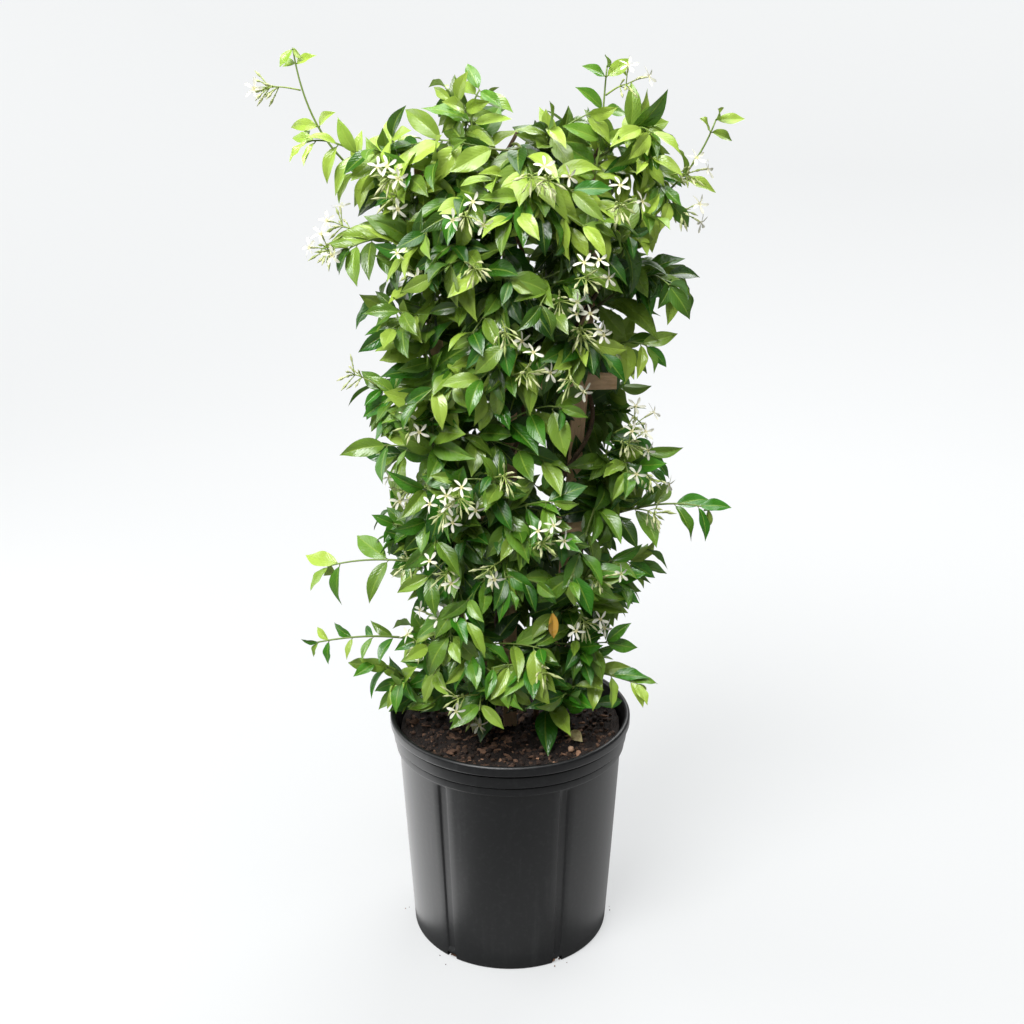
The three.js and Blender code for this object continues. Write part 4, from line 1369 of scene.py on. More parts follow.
def add_blade(surface, leaf, settings):
    """A blade folded along its midrib, with a wavy edge, hanging on a short stalk."""
    draw = draws_from(leaf.seed * 31 + 7)
    u = np.linspace(0, 1, BLADE_ROWS)[:, None, None]
    v = np.linspace(-1, 1, BLADE_COLUMNS)[None, :, None]
    share = mix(BLADE_FOOT, 1, u)
    length = leaf.length * settings.length
    half = np.maximum(leaf.width / 2 * settings.breadth * blade_half(u), 0.5)
    fold = settings.fold * mix(0.4, 1.6, draw())
    ripple = mix(0.01, 0.07, draw()) * leaf.width
    waves, phase, shift = mix(1.1, 2.3, draw()), draw() * TURN, draw() * pi
    twist = spread(draw, 0.55) * u
    bend = spread(draw, 0.12)
    curl = settings.curl * draw() ** 1.5
    direction, normal, base = (np.array(vector) for vector in (leaf.direction, leaf.normal, leaf.base))
    side = np.cross(normal, direction)
    lift = normal + direction * (2 * leaf.sag * share + 3 * curl * share**2)
    lift = lift / np.linalg.norm(lift, axis=2, keepdims=True)
    side_turned = side * np.cos(twist) + lift * np.sin(twist)
    lift_turned = lift * np.cos(twist) - side * np.sin(twist)
    drop = length * (leaf.sag * share**2 + curl * share**3)
    middle = base + direction * (share * length) - normal * drop
    middle = middle + side * (bend * length * share**2 * (1 - share) * 2)
    edge = np.abs(v)
    rise = half * fold * (edge - 0.4 * edge**2)
    rise = rise + ripple * np.sin(pi * u) * v**2 * np.sin(waves * TURN * u + phase + shift * (v > 0))
    points = middle + side_turned * (half * v / sqrt(1 + fold * fold)) + lift_turned * rise
    tone = (leaf.youth, leaf.single)
    body = points[:-1]
    faces = grid_faces(BLADE_ROWS - 1, BLADE_COLUMNS, False)
    row = (BLADE_ROWS - 2) * BLADE_COLUMNS + np.arange(BLADE_COLUMNS - 1)
    tip = (BLADE_ROWS - 1) * BLADE_COLUMNS
    end = np.stack([row, np.full(len(row), tip), row + 1], axis=1)
    along, across = np.meshgrid(u[:-1, 0, 0], (v[0, :, 0] + 1) / 2, indexing="ij")
    places = np.concatenate([np.stack([along, across], axis=2).reshape(-1, 2), [[1, 0.5]]])
    corners = np.concatenate([body.reshape(-1, 3), [points[-1, BLADE_COLUMNS // 2]]])
    surface.add(corners, [faces, end], LEAF, places, tone)

    def stalk(t):
        return leaf.middle(t * STALK_SHARE)

    stalk_tone = (max(leaf.youth, 0.6), 0)
    surface.add_tube(stalk, lambda t: mix(0.8, 0.5, t), 4, 2, STEM, stalk_tone)


class Room:
    """The leaves grown so far, as points on their blades, which tell how much room a new leaf has."""

    SHARES = (0.3, 0.55, 0.8, 1)

    def __init__(self):
        self.points = np.full((1, 3), 1e6)
        self.low, self.high = (np.array(corner) / MM for corner in CAD_BOX)

    def samples(self, leaf):
        side = leaf.normal.cross(leaf.direction) * (leaf.width * 0.36)
        wide = leaf.middle(0.5)
        return np.array([*(leaf.middle(u) for u in self.SHARES), wide + side, wide - side])

    def around(self, leaf):
        """Distance to the nearest leaf, or 0 outside the plant's box."""
        spots = self.samples(leaf)
        if (spots < self.low + 3).any() or (spots > self.high - 3).any():
            return 0
        if (spots[:, 2] + FRONT_RISE * np.minimum(spots[:, 1], 0) < SOIL_TOP + FRONT_CLEAR).any():
            return 0
        near = self.points[np.abs(self.points - spots[0]).max(axis=1) < 2 * leaf.length]
        if not len(near):
            return 30
        gaps = near[None] - spots[:, None]
        return sqrt((gaps * gaps).sum(axis=2).min())

    def take(self, leaf):
        self.points = np.concatenate([self.points, self.samples(leaf)])


FILL_TRIES = 8
LEAST_ROOM, GOOD_ROOM = 3.5, 10
# In front, the leaves that fill the plant stay above a plane that rises from the soil to its lip.
FRONT_RISE, FRONT_CLEAR = 0.53, 14


def loosen(leaf, draw):
    """Turns a leaf a little at random, as leaves are that grow in each other's way."""
    stray = Vector((spread(draw, 0.6), spread(draw, 0.6), spread(draw, 0.4) - 0.35))
    leaf.direction = (leaf.direction + stray).normalized()
    normal = leaf.normal + Vector([spread(draw, 0.55) for _ in range(3)])
    leaf.normal = (normal - leaf.direction * normal.dot(leaf.direction)).normalized()
    return leaf


def fill_leaf(room, shoot, path, steps, spot, side, seed):
    """The roomiest of a few tries for one more leaf, or None where the foliage is full."""
    best, most = None, LEAST_ROOM
    for k in range(FILL_TRIES):
        leaf = loosen(leaf_at(shoot, path, steps, spot, side, seed, k), draws_from(3 * seed + k))
        found = room.around(leaf)
        if found > most:
            best, most = leaf, found
        if most > GOOD_ROOM:
            break
    if best:
        room.take(best)
    return best


FILL_TWIGS = (0.3, 0.66, 0.86)
FILL_SIZE = 0.76
FORK_FILL = [(0.3, 0.9, 0.8), (0.75, 1.0, 0.8), (1, 0.8, 0.5)]
TWIG_FILL = [(0.5, 0.1, 0.8), (0.92, 0.9, 0.72)]
TWIG_STEPS = 2


def twig_path(path, share, length, draw):
    """A short side twig."""
    start = path(share)
    tangent = tangent_of(path, share)
    side = UP.cross(tangent).normalized()
    turn = -1 if draw() < 0.5 else 1
    direction = (tangent * 0.55 + side * (turn * 0.8) + UP * spread(draw, 0.5)).normalized()
    bend = start + direction * (length * 0.5)
    return bezier(start, bend, bend, start + direction * length - UP * 8)


def fill_spots(shoot):
    """Places for more pairs: along the bare foot of the stem, between its pairs, and at its tip."""
    spots = [t for t, _, _ in leaf_spots(shoot)]
    if not shoot.fork:
        return [*((spots[0] * share, 0.4, FILL_SIZE) for share in (0.4, 0.72)), (0.985, 0.5, 0.62)]
    between = [(a + b) / 2 for a, b in zip(spots, spots[1:])]
    bare = [spots[0] * share for share in (0.25, 0.5, 0.75)]
    found = [(t, 0.4 + 0.7 * (k % 2), FILL_SIZE) for k, t in enumerate([*bare, *between])]
    return [*found, (0.985, 0.3, 0.5)]


def fill_shoot(stem, room, settings):
    """Grows more leaves and twigs on a shoot, which the solid model has no room for."""
    shoot = stem.shoot
    draw = draws_from(shoot.seed + FILL_DRAWS)
    number = shoot.seed + FILL_LEAF_DRAWS
    places = [(stem.path, SHOOT_STEPS, spot) for spot in fill_spots(shoot)]
    if stem.fork:
        places += [(stem.fork, FORK_STEPS, spot) for spot in FORK_FILL]
    for path, steps, spot in places:
        for side in (1, -1):
            number += 1
            if draw() > settings.fill:
                continue
            leaf = fill_leaf(room, shoot, path, steps, spot, side, number)
            if leaf:
                stem.leaves.append(leaf)
    for share in FILL_TWIGS if shoot.fork else ():
        twig = twig_path(stem.path, share, mix(34, 58, draw()), draw)
        borne = []
        for spot in TWIG_FILL:
            for side in (1, -1):
                number += 1
                borne.append(fill_leaf(room, shoot, twig, TWIG_STEPS, spot, side, number))
        borne = [leaf for leaf in borne if leaf]
        if borne:
            stem.twigs.append(twig)
            stem.leaves += borne


# Tips of the shoots that close the gaps between the solid ones: on the front, the sides and the back,
# and two more in front of the wood at the upper right.
MORE_TIPS = [
    (30, -85, 860), (-45, -80, 868), (60, -80, 800), (-36, -88, 812), (60, -85, 720), (-10, -92, 765),
    (-60, -85, 690), (0, -92, 705), (-20, -92, 600), (20, -92, 520), (0, -90, 468), (75, -52, 394),
    (-38, -98, 374), (12, -98, 372), (-130, -25, 522), (128, -15, 455), (-52, -40, 900), (134, -14, 940),
    (-140, -10, 673), (130, -10, 587), (-118, -10, 335),
    (-112, -8, 928), (-60, -12, 972), (42, -22, 938), (158, -6, 892), (150, -8, 790),
    (-30, 75, 360), (20, 90, 480), (60, 85, 650), (120, 50, 640), (-55, 85, 560), (-60, 82, 650),
    (-60, 80, 745), (-75, 70, 840), (-40, 60, 905), (-60, 80, 450), (70, 70, 400), (60, 80, 800),
    (94, -60, 866), (66, -66, 846),
]


def more_shoot(i, tip):
    draw = draws_from(MORE_SHAPE_SEED + i)
    tip = Vector(tip)
    outward = Vector((tip.x / 120, tip.y / 90, 0)).normalized()
    lift = mix(-0.9, 0.6, draw())
    return Shoot(
        vine=vine_for(tip.x, 35),
        tip=tip,
        end=(outward * 0.4 + Vector((spread(draw, 0.5), 0, lift))).normalized(),
        rise=mix(30, 110, draw()) * (1 if lift > -0.3 else -0.3),
        pairs=5,
        leaf=mix(54, 64, draw()),
        youth=crown_youth(tip.z),
        seed=MORE_SEED + i * MORE_STEP,
        fork=(0, tip),
    )


def more_stem(i, tip, room):
    """A shoot that the solid model doesn't have, with as many leaves as there is room for."""
    shoot = more_shoot(i, tip)
    stem = Grown(None, shoot, shoot_path(shoot, 0), [], [])
    for k, spot in enumerate(leaf_spots(shoot)):
        for side in (1, -1):
            seed = shoot.seed + PAIR_DRAWS + 2 * k + side
            leaf = fill_leaf(room, shoot, stem.path, SHOOT_STEPS, spot, side, seed)
            if leaf:
                stem.leaves.append(leaf)
    return stem


def outer_share(leaf):
    """How far out from the middle of the plant a leaf is, from 0 deep inside to 1 on its skin."""
    tip = leaf.middle(0.7)
    return smooth(0.35, 1.0, sqrt((tip.x / 150) ** 2 + (tip.y / 105) ** 2))


# Painted light and shade by height: how much paler the leaves are painted at these heights. They are paler
# just above the soil and darker under the crown, as painted shade of its overhang.
LIGHT_AND_SHADE_HEIGHTS = (390, 480, 560, 640, 710, 785, 850, 915)
LIGHT_AND_SHADE_SHARES = (2.1, 1.4, 1.05, 1.3, 1.25, 0.4, 0.8, 1)


def set_age_and_painted_shade(leaf, shoot):
    """Sets how young a leaf is and its tone, partly real young growth and partly painted light and shade:
    paler at the top of the plant and on its skin, painted darker deep inside it and under its crown.
    """
    draw = draws_from(leaf.seed + 3)
    outer = outer_share(leaf)
    high = smooth(450, 980, leaf.base.z)
    # pale is painted light and shade: the leaf's outwardness times the height profile.
    pale = outer * np.interp(leaf.base.z, LIGHT_AND_SHADE_HEIGHTS, LIGHT_AND_SHADE_SHARES)
    youth = 0.7 * shoot.youth + pale * mix(0.2, 0.62, high)
    leaf.youth = min(1, youth * 2.3 * draw() ** 2)
    # The tone is a random draw plus the painted share, so leaves deep inside the plant and under its crown
    # are painted darker as shade.
    leaf.single = min(1, pale * (0.1 + 0.95 * draw()) + 0.12 * draw())


@cache
def dressed_shoots():
    """Every shoot with its solid model's leaves and the ones that fill the space between them."""
    settings = bpy.context.scene.jasmine.foliage
    room = Room()
    grown = list(grown_shoots())
    for stem in grown:
        for leaf in stem.leaves:
            room.take(leaf)
    grown += [more_stem(i, tip, room) for i, tip in enumerate(MORE_TIPS)]
    for stem in grown:
        fill_shoot(stem, room, settings)
        for leaf in stem.leaves:
            set_age_and_painted_shade(leaf, stem.shoot)
    return grown


STEM_END = 0.99


def add_stem(surface, path, radius, tip_radius, steps, youth):
    def radius_at(t):
        return mix(radius, tip_radius, t)

    def tone_at(t):
        return min(1, youth + 0.9 * smooth(0.15, 0.75, t)), t

    surface.add_tube(lambda t: path(t * STEM_END), radius_at, 6, steps, STEM, tone_at=tone_at)


def add_shoots(settings):
    mature = leaf_material(settings, "Leaf", settings.deep, settings.fresh)
    young = leaf_material(settings, "Young leaf", settings.fresh, settings.lime)
    green = stem_material(settings)
    for i, stem in enumerate(dressed_shoots()):
        surface = Surface()
        add_stem(surface, stem.path, SHOOT_RADIUS, 0.9, 22, stem.shoot.youth)
        if stem.fork:
            add_stem(surface, stem.fork, FORK_RADIUS, 0.8, 12, 0.3)
        for twig in stem.twigs:
            add_stem(surface, twig, 1.1, 0.7, 6, 0.5)
        for leaf in stem.leaves:
            add_blade(surface, leaf, settings)
        is_young = stem.shoot.youth > 0.5
        materials = [young if is_young else mature, green]
        replaced = [stem.name] if stem.name else []
        surface.piece(f"spray_{i + 1:02}", materials, "young_leaf" if is_young else "leaf", replaced)


# ---- flowers ----
class FlowerSettings(bpy.types.PropertyGroup):
    petal: colour_property("Petal", "Colour of the open petals", paint(240, 239, 220))
    throat: colour_property("Throat", "Colour in the middle of a flower", paint(226, 214, 120))
    bud: colour_property("Bud", "Colour of a bud that is about to open", paint(232, 232, 186))
    green_bud: colour_property("Green bud", "Colour of the stalks and of a young bud", paint(168, 188, 96))
    width: length_property("Flower width", "Width of an open flower", 22.5)


PETALS = 5
PETAL_ROWS, PETAL_COLUMNS = 8, 5
PETAL, BUD = 0, 1
CALYX = 0.62
BUD_CALYX = 0.36


def petal_material(settings, name, deep, pale):
    """Petals and buds: from the deep colour in the throat or a young bud to the pale one."""
    material, tree, out = new_material(name)
    _, along, _ = map_values(tree, "place")
    _, green, _ = map_values(tree, "tone")
    mottle = mottled(tree, 300.0, 0.2)
    share = calc(tree, "MAXIMUM", green, ramp(tree, along, 0.02, 0.3, 0.75, 0.0))
    colour = blend_colours(tree, share, rgba(pale), rgba(deep))
    colour = shaded(tree, colour, ramp(tree, mottle["Patches"], 0.0, 1.0, 0.92, 1.0))
    ribs = bump(tree, mottle["Patches"], 0.15, 0.2)
    inputs = {"Base Color": colour, "Roughness": 0.55, "Normal": ribs}
    finish_thin(tree, out, inputs, {"Color": colour}, 0.2)
    return material


def add_star(surface, star, settings, draw):
    """An open flower: five petals that turn like a pinwheel at the mouth of a slender tube."""
    facing = np.array(star.facing)
    across = np.array(across_from(star.facing))
    third = np.cross(facing, across)
    s = np.linspace(0, 1, PETAL_ROWS)[:, None, None]
    w = np.linspace(-1, 1, PETAL_COLUMNS)[None, :, None]
    widening = np.clip(s / 0.62, 0, 1)
    half = mix(0.6, 1.75, widening * widening * (3 - 2 * widening))
    half = half * np.sqrt(1 - 0.94 * np.clip((s - 0.68) / 0.32, 0, 1) ** 2)
    reach = settings.width / MM / 2
    for k in range(PETALS):
        angle = star.spin + (0.05 + k / PETALS) * TURN
        radial = across * cos(angle) + third * sin(angle)
        around = third * cos(angle) - across * sin(angle)
        size = mix(0.9, 1.0, draw())
        curl = mix(0.2, 1.9, draw())
        twist = mix(0.3, 0.75, draw()) * s
        section = around * np.cos(twist) + facing * np.sin(twist)
        middle = np.array(star.centre) + radial * mix(0.7, reach * size, s) + around * (2.4 * s * s)
        middle = middle + facing * (0.4 + 1.9 * s - curl * s * s)
        points = middle + section * (half * (w + 0.15)) + facing * (0.25 * w * w)
        surface.add_sheet(points, PETAL, tone=(0, draw()))
    surface.add_tube(
        lambda t: star.pedicel(mix(CALYX, 1, t)),
        lambda t: mix(0.75, 1.2, smooth(0, 0.5, t)) - 0.25 * smooth(0.8, 1, t),
        6,
        5,
        BUD,
        (0.25, draw()),
    )
    add_flower_stalk(surface, star.pedicel, CALYX + 0.04)


def add_flower_stalk(surface, pedicel, end):
    """The thin green stalk of one flower or bud, which widens to its calyx."""
    surface.add_tube(
        lambda t: pedicel(t * end),
        lambda t: mix(0.55, 1.1, smooth(0.82, 0.95, t)),
        5,
        5,
        BUD,
        (1, 0),
    )


def add_bud(surface, pedicel, draw):
    """A long slender bud, widest past its middle."""
    swell = mix(1.25, 1.75, draw())
    surface.add_tube(
        lambda t: pedicel(mix(BUD_CALYX, 1, t)),
        lambda t: mix(0.72, swell, smooth(0.35, 0.62, t)) * (1 - 0.85 * smooth(0.62, 1, t) ** 1.4),
        6,
        8,
        BUD,
        (mix(0.1, 0.9, draw()), draw()),
    )
    add_flower_stalk(surface, pedicel, BUD_CALYX + 0.03)


MORE_BUDS = (6, 11)
BUD_MARGIN = 2


def more_buds(head, draw):
    """Young buds that a solid head has no room for, from its fork and from a lower one."""
    direction = tangent_of(head.stalk, 0.6)
    count = floor(mix(*MORE_BUDS, draw()))
    start = draw() * TURN
    for k in range(count):
        root = head.stalk(0.9 if k % 2 else 0.62)
        angle = start + k / count * TURN + spread(draw, 0.3)
        lean = splayed(direction, angle, mix(0.5, 1.1, draw()), 0.4)
        reach = mix(13, 24, draw())
        bend = root + lean * (reach * 0.5) + UP * spread(draw, 2)
        tip = root + lean * reach - UP * 2
        if in_box(tip, BUD_MARGIN):
            yield bezier(root, bend, bend, tip)


def in_box(point, margin):
    """Whether a point is this far inside the solid model's box on all sides."""
    low, high = CAD_BOX
    return all(a / MM + margin < p < b / MM - margin for a, p, b in zip(low, point, high))


def add_head(head, settings):
    surface = Surface()
    draw = draws_from(head.seed + 5)
    surface.add_tube(head.stalk, lambda t: mix(0.95, 0.65, t), 6, 8, BUD, (1, 0))
    for star in head.stars:
        add_star(surface, star, settings, draw)
    for pedicel in [*head.buds, *more_buds(head, draw)]:
        add_bud(surface, pedicel, draw)
    return surface


# Where more heads show, across and up: on the front of the plant and on its back.
FRONT_BLOOMS = [
    (-47, 862), (-32, 822), (72, 806), (38, 783), (73, 768), (72, 747), (-38, 753), (34, 726),
    (6, 693), (0, 670), (-21, 663), (32, 641), (17, 625), (55, 600), (-46, 582), (-63, 560),
    (51, 538), (132, 543), (123, 570), (-92, 496), (100, 612), (104, 880), (150, 862), (158, 900),
    (-168, 812), (42, 425), (36, 376), (-100, 640), (-110, 905), (20, 900), (-85, 425), (-30, 500),
    (2, 300), (-34, 288), (128, 660), (-128, 700),
]
BACK_BLOOMS = [
    (-60, 850), (40, 880), (100, 800), (-20, 760), (60, 700), (-90, 690), (0, 620), (100, 590),
    (-50, 540), (40, 500), (-80, 440), (70, 410), (0, 380),
]
BLOOM_TRIES = 14
STAR_MARGIN = 13


def bloom_heads():
    """More heads: each grows from the stem nearest to its place, on the try that comes closest."""
    stems = [(stem, t, stem.path(t)) for stem in dressed_shoots() for t in np.linspace(0.35, 1, 14)]
    places = [(x, z, -1) for x, z in FRONT_BLOOMS] + [(x, z, 1) for x, z in BACK_BLOOMS]
    for i, (x, z, side) in enumerate(places):

        def off_place(spot):
            depth = max(0, 60 - side * spot[2].y) * 0.5
            return (spot[2].x - x) ** 2 + (spot[2].z - z) ** 2 + depth**2

        stem, t, _ = min(stems, key=off_place)
        draw = draws_from(BLOOM_SEED + i)
        stars, buds = floor(mix(0, 4, draw())), floor(mix(1, 4, draw()))
        first = 1000 * (i + 1)
        front = FRONT * -side
        numbers = range(first, first + BLOOM_TRIES)
        tries = [head_on(stem.shoot, stem.path, stars, buds, k, t, front) for k in numbers]
        tries = [head for head in tries if is_head_in_box(head)]
        if tries:
            yield min(tries, key=lambda head: (head.stalk(1).x - x) ** 2 + (head.stalk(1).z - z) ** 2)


def is_head_in_box(head):
    stars_fit = all(in_box(star.centre, STAR_MARGIN) for star in head.stars)
    return stars_fit and all(in_box(bud(1), BUD_MARGIN) for bud in head.buds)


def add_flowers(settings):
    materials = [
        petal_material(settings, "Petal", settings.throat, settings.petal),
        petal_material(settings, "Bud", settings.green_bud, settings.bud),
    ]
    heads = [stem.head for stem in dressed_shoots() if stem.head]
    for i, head in enumerate(heads):
        solid = f"flowers_{i + 1:02}"
        add_head(head, settings).piece(f"bloom_{i + 1:02}", materials, "flower", [solid])
    for i, head in enumerate(bloom_heads()):
        add_head(head, settings).piece(f"bloom_{len(heads) + i + 1:02}", materials, "flower")


# ---- small loose things ----
class LitterSettings(bpy.types.PropertyGroup):
    dry: colour_property("Dry leaf", "Colour of the curled leaf on the soil", paint(238, 224, 164))
    brown: colour_property("Dry edge", "Colour of the dry leaf's edge", paint(150, 116, 76))
    pebble: colour_property("Pebble", "Colour of the pebble", paint(204, 166, 138))


def dry_material(name, pale, dark):
    """Something dry and dull, from the pale colour to the dark one in patches."""
    material, tree, out = new_material(name)
    mottle = mottled(tree, 90.0, 0.4)
    share = plus(tree, times(tree, mottle["Patches"], 0.6), mottle["Specks"])
    colour = blend_colours(tree, share, rgba(pale), rgba(dark))
    finish_plain(tree, out, colour, 0.7, bump(tree, mottle["Patches"], 0.4, 0.5))
    return material


PEBBLE_AT, PEBBLE_SIZES = (70, -64, SOIL_TOP + 5), (4.6, 3.8, 4.4)
FADING = 1.6


def add_litter(settings):
    """A dry leaf and a pebble on the soil, and a leaf in the plant that has turned yellow."""
    foliage = bpy.context.scene.jasmine.foliage
    stem = stem_material(foliage)
    dry = Leaf(
        base=Vector((71, -27, SOIL_TOP + 9)),
        direction=Vector((0.5, -0.8, -0.15)).normalized(),
        normal=Vector((-0.5, -0.4, 0.75)).normalized(),
        length=24,
        width=18,
        sag=0.12,
        youth=0,
        seed=DRY_SEED,
    )
    surface = Surface()
    add_blade(surface, dry, foliage)
    straw = dry_material("Dry leaf", settings.dry, settings.brown)
    surface.piece("dry_leaf", [straw, stem], "leaf")

    yellow = Leaf(
        base=Vector((46, -88, 444)),
        direction=Vector((0.1, -0.25, -0.95)).normalized(),
        normal=Vector((0.2, -0.93, 0.25)).normalized(),
        length=36,
        width=19,
        sag=0.1,
        youth=FADING,
        seed=YELLOW_SEED,
    )
    surface = Surface()
    add_blade(surface, yellow, foliage)
    fading = leaf_material(foliage, "Yellow leaf", foliage.deep, foliage.fresh)
    surface.piece("yellow_leaf", [fading, stem], "leaf")

    surface = Surface()
    add_lump(surface, unit_lump(), PEBBLE_AT, PEBBLE_SIZES, draws_from(PEBBLE_SEED), (0, 0), jag=0.15)
    stone = dry_material("Pebble", settings.pebble, settings.brown)
    surface.piece("pebble", [stone], "soil")


# ---- stage ----
class StageSettings(bpy.types.PropertyGroup):
    floor: colour_property("Floor", "Colour of the floor and the wall behind it", (0.97, 0.985, 0.99))
    glow: share_property("Glow", "How bright the far wall is where the camera sees it", 0.86)
    sky: share_property("Sky light", "Strength of the even light from all sides", 0.22, 5)
    key: power_property("Key light", "Power of the large front light", 108)
    top: power_property("Top light", "Power of the light overhead", 48)
    fill: power_property("Fill light", "Power of the side light", 12)
    back: power_property("Back light", "Power of the light behind", 50)
    rim: power_property("Rim light", "Power of the light that the floor throws on the pot", 15)
    distance: length_property("Distance", "From the plant to the camera, along the floor", 1412)
    height: length_property("Height", "Height of the camera", 1012)
    aside: length_property("Aside", "How far the camera stands to the right", 2.3)
    tilt: FloatProperty(
        name="Tilt",
        description="How far the camera looks down",
        default=radians(18.95),
        unit="ROTATION",
    )
    lens: FloatProperty(
        name="Lens",
        description="Focal length on a 36 mm sensor",
        default=46.51,
        unit="CAMERA",
    )


STAGE_RADIUS, STAGE_WALL, STAGE_BEND = 4200, 2700, 2500
STAGE_SPOKES = 96
SENSOR_WIDTH = 36
SEEN_FLOOR, UNSEEN_FLOOR = 0.23, 0.2


def backdrop_material(settings):
    """White where the camera sees it, with soft shadows, and grey in the light that it throws back."""
    material, tree, out = new_material("Backdrop")
    is_seen = add_node(tree, "ShaderNodeLightPath").outputs["Is Camera Ray"]
    place = object_place(tree)
    reach = add_node(tree, "ShaderNodeVectorMath", {0: place}, operation="LENGTH").outputs["Value"]
    near = times(tree, ramp(tree, reach, 0.2, 2.2, 0.605, 0.78), settings.glow)
    glow = times(tree, near, ramp(tree, reach, 2.2, 4.4, 1.0, 1.18))
    grey = ramp(tree, is_seen, 0.0, 1.0, UNSEEN_FLOOR, SEEN_FLOOR)
    shader = finish_plain(tree, out, shaded(tree, rgba(settings.floor), grey), 0.9)
    shader.inputs["Emission Color"].default_value = rgba(settings.floor)
    tree.links.new(times(tree, is_seen, glow), shader.inputs["Emission Strength"])
    return material


AIM = (0, 0, 0.6)
# The soft lights: name, the setting that holds their power, place, size and what they look at.
LIGHTS = [
    ("Key", "key", (-0.9, -1.5, 2.8), (1.4, 1.4), AIM),
    ("Top", "top", (0.1, -0.3, 3), (1.8, 1.8), AIM),
    ("Side", "fill", (-1.5, 0.4, 0.95), (1.3, 1.0), (0, 0, 0.3)),
    ("Back", "back", (0.7, 1.7, 2.3), (1.8, 1.8), AIM),
]
RIM_LIT = "Rim lit"
RIM_HEIGHT = 0.004
# The lights that lie on the floor and face up: name, place across and in depth, size, share of the power.
RIM_LIGHTS = [
    ("Left rim", -0.85, 0.66, (1.45, 1.68), 1),
    ("Right rim", 0.85, 0.66, (1.45, 1.68), 0.27),
    ("Front rim", 0, -0.24, (1.3, 0.2), 0.012),
]


def rim_lit():
    """The collection of the pieces that the rim light falls on."""
    return bpy.data.collections.get(RIM_LIT) or bpy.data.collections.new(RIM_LIT)


def add_light(name, place, size, power, aim):
    lamp = bpy.data.lights.new(name, "AREA")
    lamp.shape = "RECTANGLE"
    lamp.size, lamp.size_y = size
    lamp.energy = power
    made = bpy.data.objects.new(name, lamp)
    made.location = place
    made.rotation_mode = "QUATERNION"
    made.rotation_quaternion = (Vector(aim) - Vector(place)).to_track_quat("-Z", "Y")
    made.visible_camera = False
    bpy.context.scene.collection.objects.link(made)
    return made


def add_backdrop(settings):
    """A pale round floor that bends up into its wall."""
    flat = STAGE_RADIUS - STAGE_BEND
    section = [(r, 0) for r in (200, 700, 1500, flat)]
    section += [*arc(flat, STAGE_BEND, STAGE_BEND, -90, 0, 16)[1:], (STAGE_RADIUS, STAGE_WALL)]
    angles = np.arange(STAGE_SPOKES) / STAGE_SPOKES * TURN
    rows = [[(cos(a) * r, sin(a) * r, z) for a in angles] for r, z in section]
    backdrop = Surface()
    backdrop.add_turned(rows, [(0, 0, 0)])
    stage = backdrop.as_object("backdrop", [backdrop_material(settings)])
    stage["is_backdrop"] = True


def set_lights(settings):
    world = bpy.data.worlds.new("Studio")
    world.use_nodes = True
    sky = world.node_tree.nodes["Background"].inputs
    sky["Color"].default_value = (0.97, 0.985, 1.0, 1.0)
    sky["Strength"].default_value = settings.sky
    bpy.context.scene.world = world
    for name, power, place, size, aim in LIGHTS:
        add_light(name, place, size, getattr(settings, power), aim)
    for name, x, y, size, share in RIM_LIGHTS:
        rim = add_light(name, (x, y, RIM_HEIGHT), size, settings.rim * share, (x, y, 1))
        rim.light_linking.receiver_collection = rim_lit()


def set_camera(settings):
    camera = bpy.data.objects.new("Camera", bpy.data.cameras.new("Camera"))
    camera.data.lens = settings.lens
    camera.data.sensor_width = SENSOR_WIDTH
    camera.location = (settings.aside, -settings.distance, settings.height)
    camera.rotation_euler = (pi / 2 - settings.tilt, 0, 0)
    bpy.context.scene.collection.objects.link(camera)
    bpy.context.scene.camera = camera
    bpy.context.scene.view_settings.view_transform = "Standard"


def set_stage(settings):
    add_backdrop(settings)
    set_lights(settings)
    set_camera(settings)


# ---- the add-on: settings, operators and panel ----
class JasmineSettings(bpy.types.PropertyGroup):
    pot: PointerProperty(type=PotSettings)
    soil: PointerProperty(type=SoilSettings)
    trellis: PointerProperty(type=TrellisSettings)
    vines: PointerProperty(type=VineSettings)
    foliage: PointerProperty(type=FoliageSettings)
    flowers: PointerProperty(type=FlowerSettings)
    litter: PointerProperty(type=LitterSettings)
    stage: PointerProperty(type=StageSettings)


class JASMINE_OT_set_stage(bpy.types.Operator):
    """Sets the pale stage, the soft lights and the camera"""

    bl_idname = "jasmine.set_stage"
    bl_label = "Stage"

    def execute(self, context):
        set_stage(context.scene.jasmine.stage)
        return {"FINISHED"}


class JASMINE_OT_add_pot(bpy.types.Operator):
    """Adds the nursery pot with its rolled lip, rings, flutes and drain holes"""

    bl_idname = "jasmine.add_pot"
    bl_label = "Nursery pot"

    def execute(self, context):
        add_pot(context.scene.jasmine.pot)
        return {"FINISHED"}


class JASMINE_OT_add_soil(bpy.types.Operator):
    """Adds the potting soil and its crumbs"""

    bl_idname = "jasmine.add_soil"
    bl_label = "Potting soil"

    def execute(self, context):
        add_soil(context.scene.jasmine.soil)
        return {"FINISHED"}


class JASMINE_OT_add_trellis(bpy.types.Operator):
    """Adds the stakes and slats of the trellis"""

    bl_idname = "jasmine.add_trellis"
    bl_label = "Trellis"

    def execute(self, context):
        add_trellis(context.scene.jasmine.trellis)
        return {"FINISHED"}


class JASMINE_OT_add_vines(bpy.types.Operator):
    """Adds the woody vines that twine round the stakes"""

    bl_idname = "jasmine.add_vines"
    bl_label = "Vines"

    def execute(self, context):
        add_vines(context.scene.jasmine.vines)
        return {"FINISHED"}


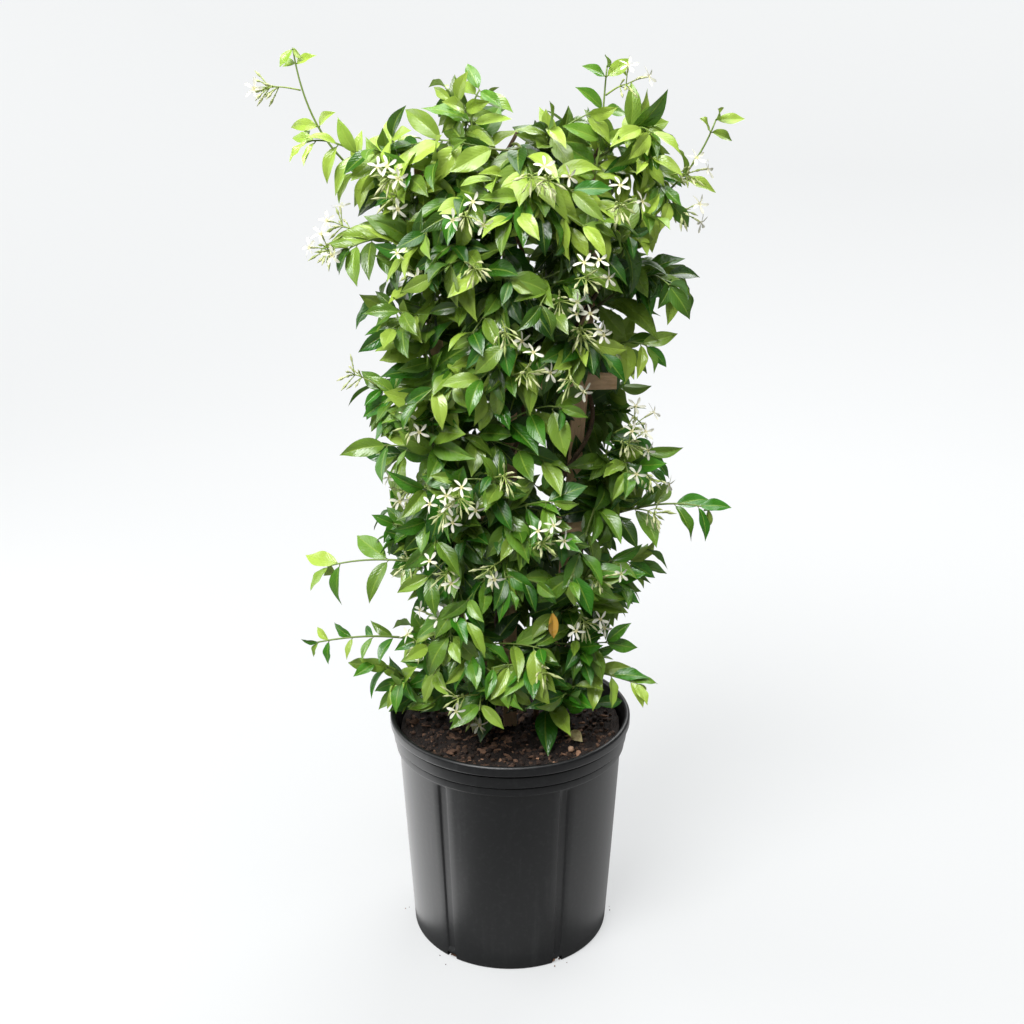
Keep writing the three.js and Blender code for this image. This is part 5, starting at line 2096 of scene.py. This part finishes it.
class JASMINE_OT_add_shoots(bpy.types.Operator):
    """Adds the leafy shoots"""

    bl_idname = "jasmine.add_shoots"
    bl_label = "Leafy shoots"

    def execute(self, context):
        add_shoots(context.scene.jasmine.foliage)
        return {"FINISHED"}


class JASMINE_OT_add_flowers(bpy.types.Operator):
    """Adds the flower heads with their stars and buds"""

    bl_idname = "jasmine.add_flowers"
    bl_label = "Flowers"

    def execute(self, context):
        add_flowers(context.scene.jasmine.flowers)
        return {"FINISHED"}


class JASMINE_OT_add_litter(bpy.types.Operator):
    """Adds the dry leaf and the pebble on the soil, and the yellow leaf in the plant"""

    bl_idname = "jasmine.add_litter"
    bl_label = "Small loose things"

    def execute(self, context):
        add_litter(context.scene.jasmine.litter)
        return {"FINISHED"}


STEPS = [
    (JASMINE_OT_set_stage, "stage"),
    (JASMINE_OT_add_pot, "pot"),
    (JASMINE_OT_add_soil, "soil"),
    (JASMINE_OT_add_trellis, "trellis"),
    (JASMINE_OT_add_vines, "vines"),
    (JASMINE_OT_add_shoots, "foliage"),
    (JASMINE_OT_add_flowers, "flowers"),
    (JASMINE_OT_add_litter, "litter"),
]


class JASMINE_PT_panel(bpy.types.Panel):
    """Lists the pieces of the plant with their sizes and colours"""

    bl_idname = "JASMINE_PT_panel"
    bl_label = "Star jasmine"
    bl_space_type = "VIEW_3D"
    bl_region_type = "UI"
    bl_category = "Star jasmine"

    def draw(self, context):
        for operator, group in STEPS:
            box = self.layout.box()
            box.operator(operator.bl_idname)
            settings = getattr(context.scene.jasmine, group)
            for name in settings.__annotations__:
                box.prop(settings, name)


CLASSES = [
    PotSettings,
    SoilSettings,
    TrellisSettings,
    VineSettings,
    FoliageSettings,
    FlowerSettings,
    LitterSettings,
    StageSettings,
    JasmineSettings,
    *(operator for operator, _ in STEPS),
    JASMINE_PT_panel,
]


def register():
    for cls in CLASSES:
        bpy.utils.register_class(cls)
    bpy.types.Scene.jasmine = PointerProperty(type=JasmineSettings)


def unregister():
    del bpy.types.Scene.jasmine
    for cls in reversed(CLASSES):
        bpy.utils.unregister_class(cls)


def write_sizes():
    boxes = {"cad": CAD_BOX, "visual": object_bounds()}
    sizes = {name: [list(corner) for corner in box] for name, box in boxes.items()}


def main():
    register()
    bpy.ops.jasmine.set_stage()
    bpy.ops.jasmine.add_pot()
    bpy.ops.jasmine.add_soil()
    bpy.ops.jasmine.add_trellis()
    bpy.ops.jasmine.add_vines()
    bpy.ops.jasmine.add_shoots()
    bpy.ops.jasmine.add_flowers()
    bpy.ops.jasmine.add_litter()
    write_sizes()


if __name__ == "__main__":
    main()
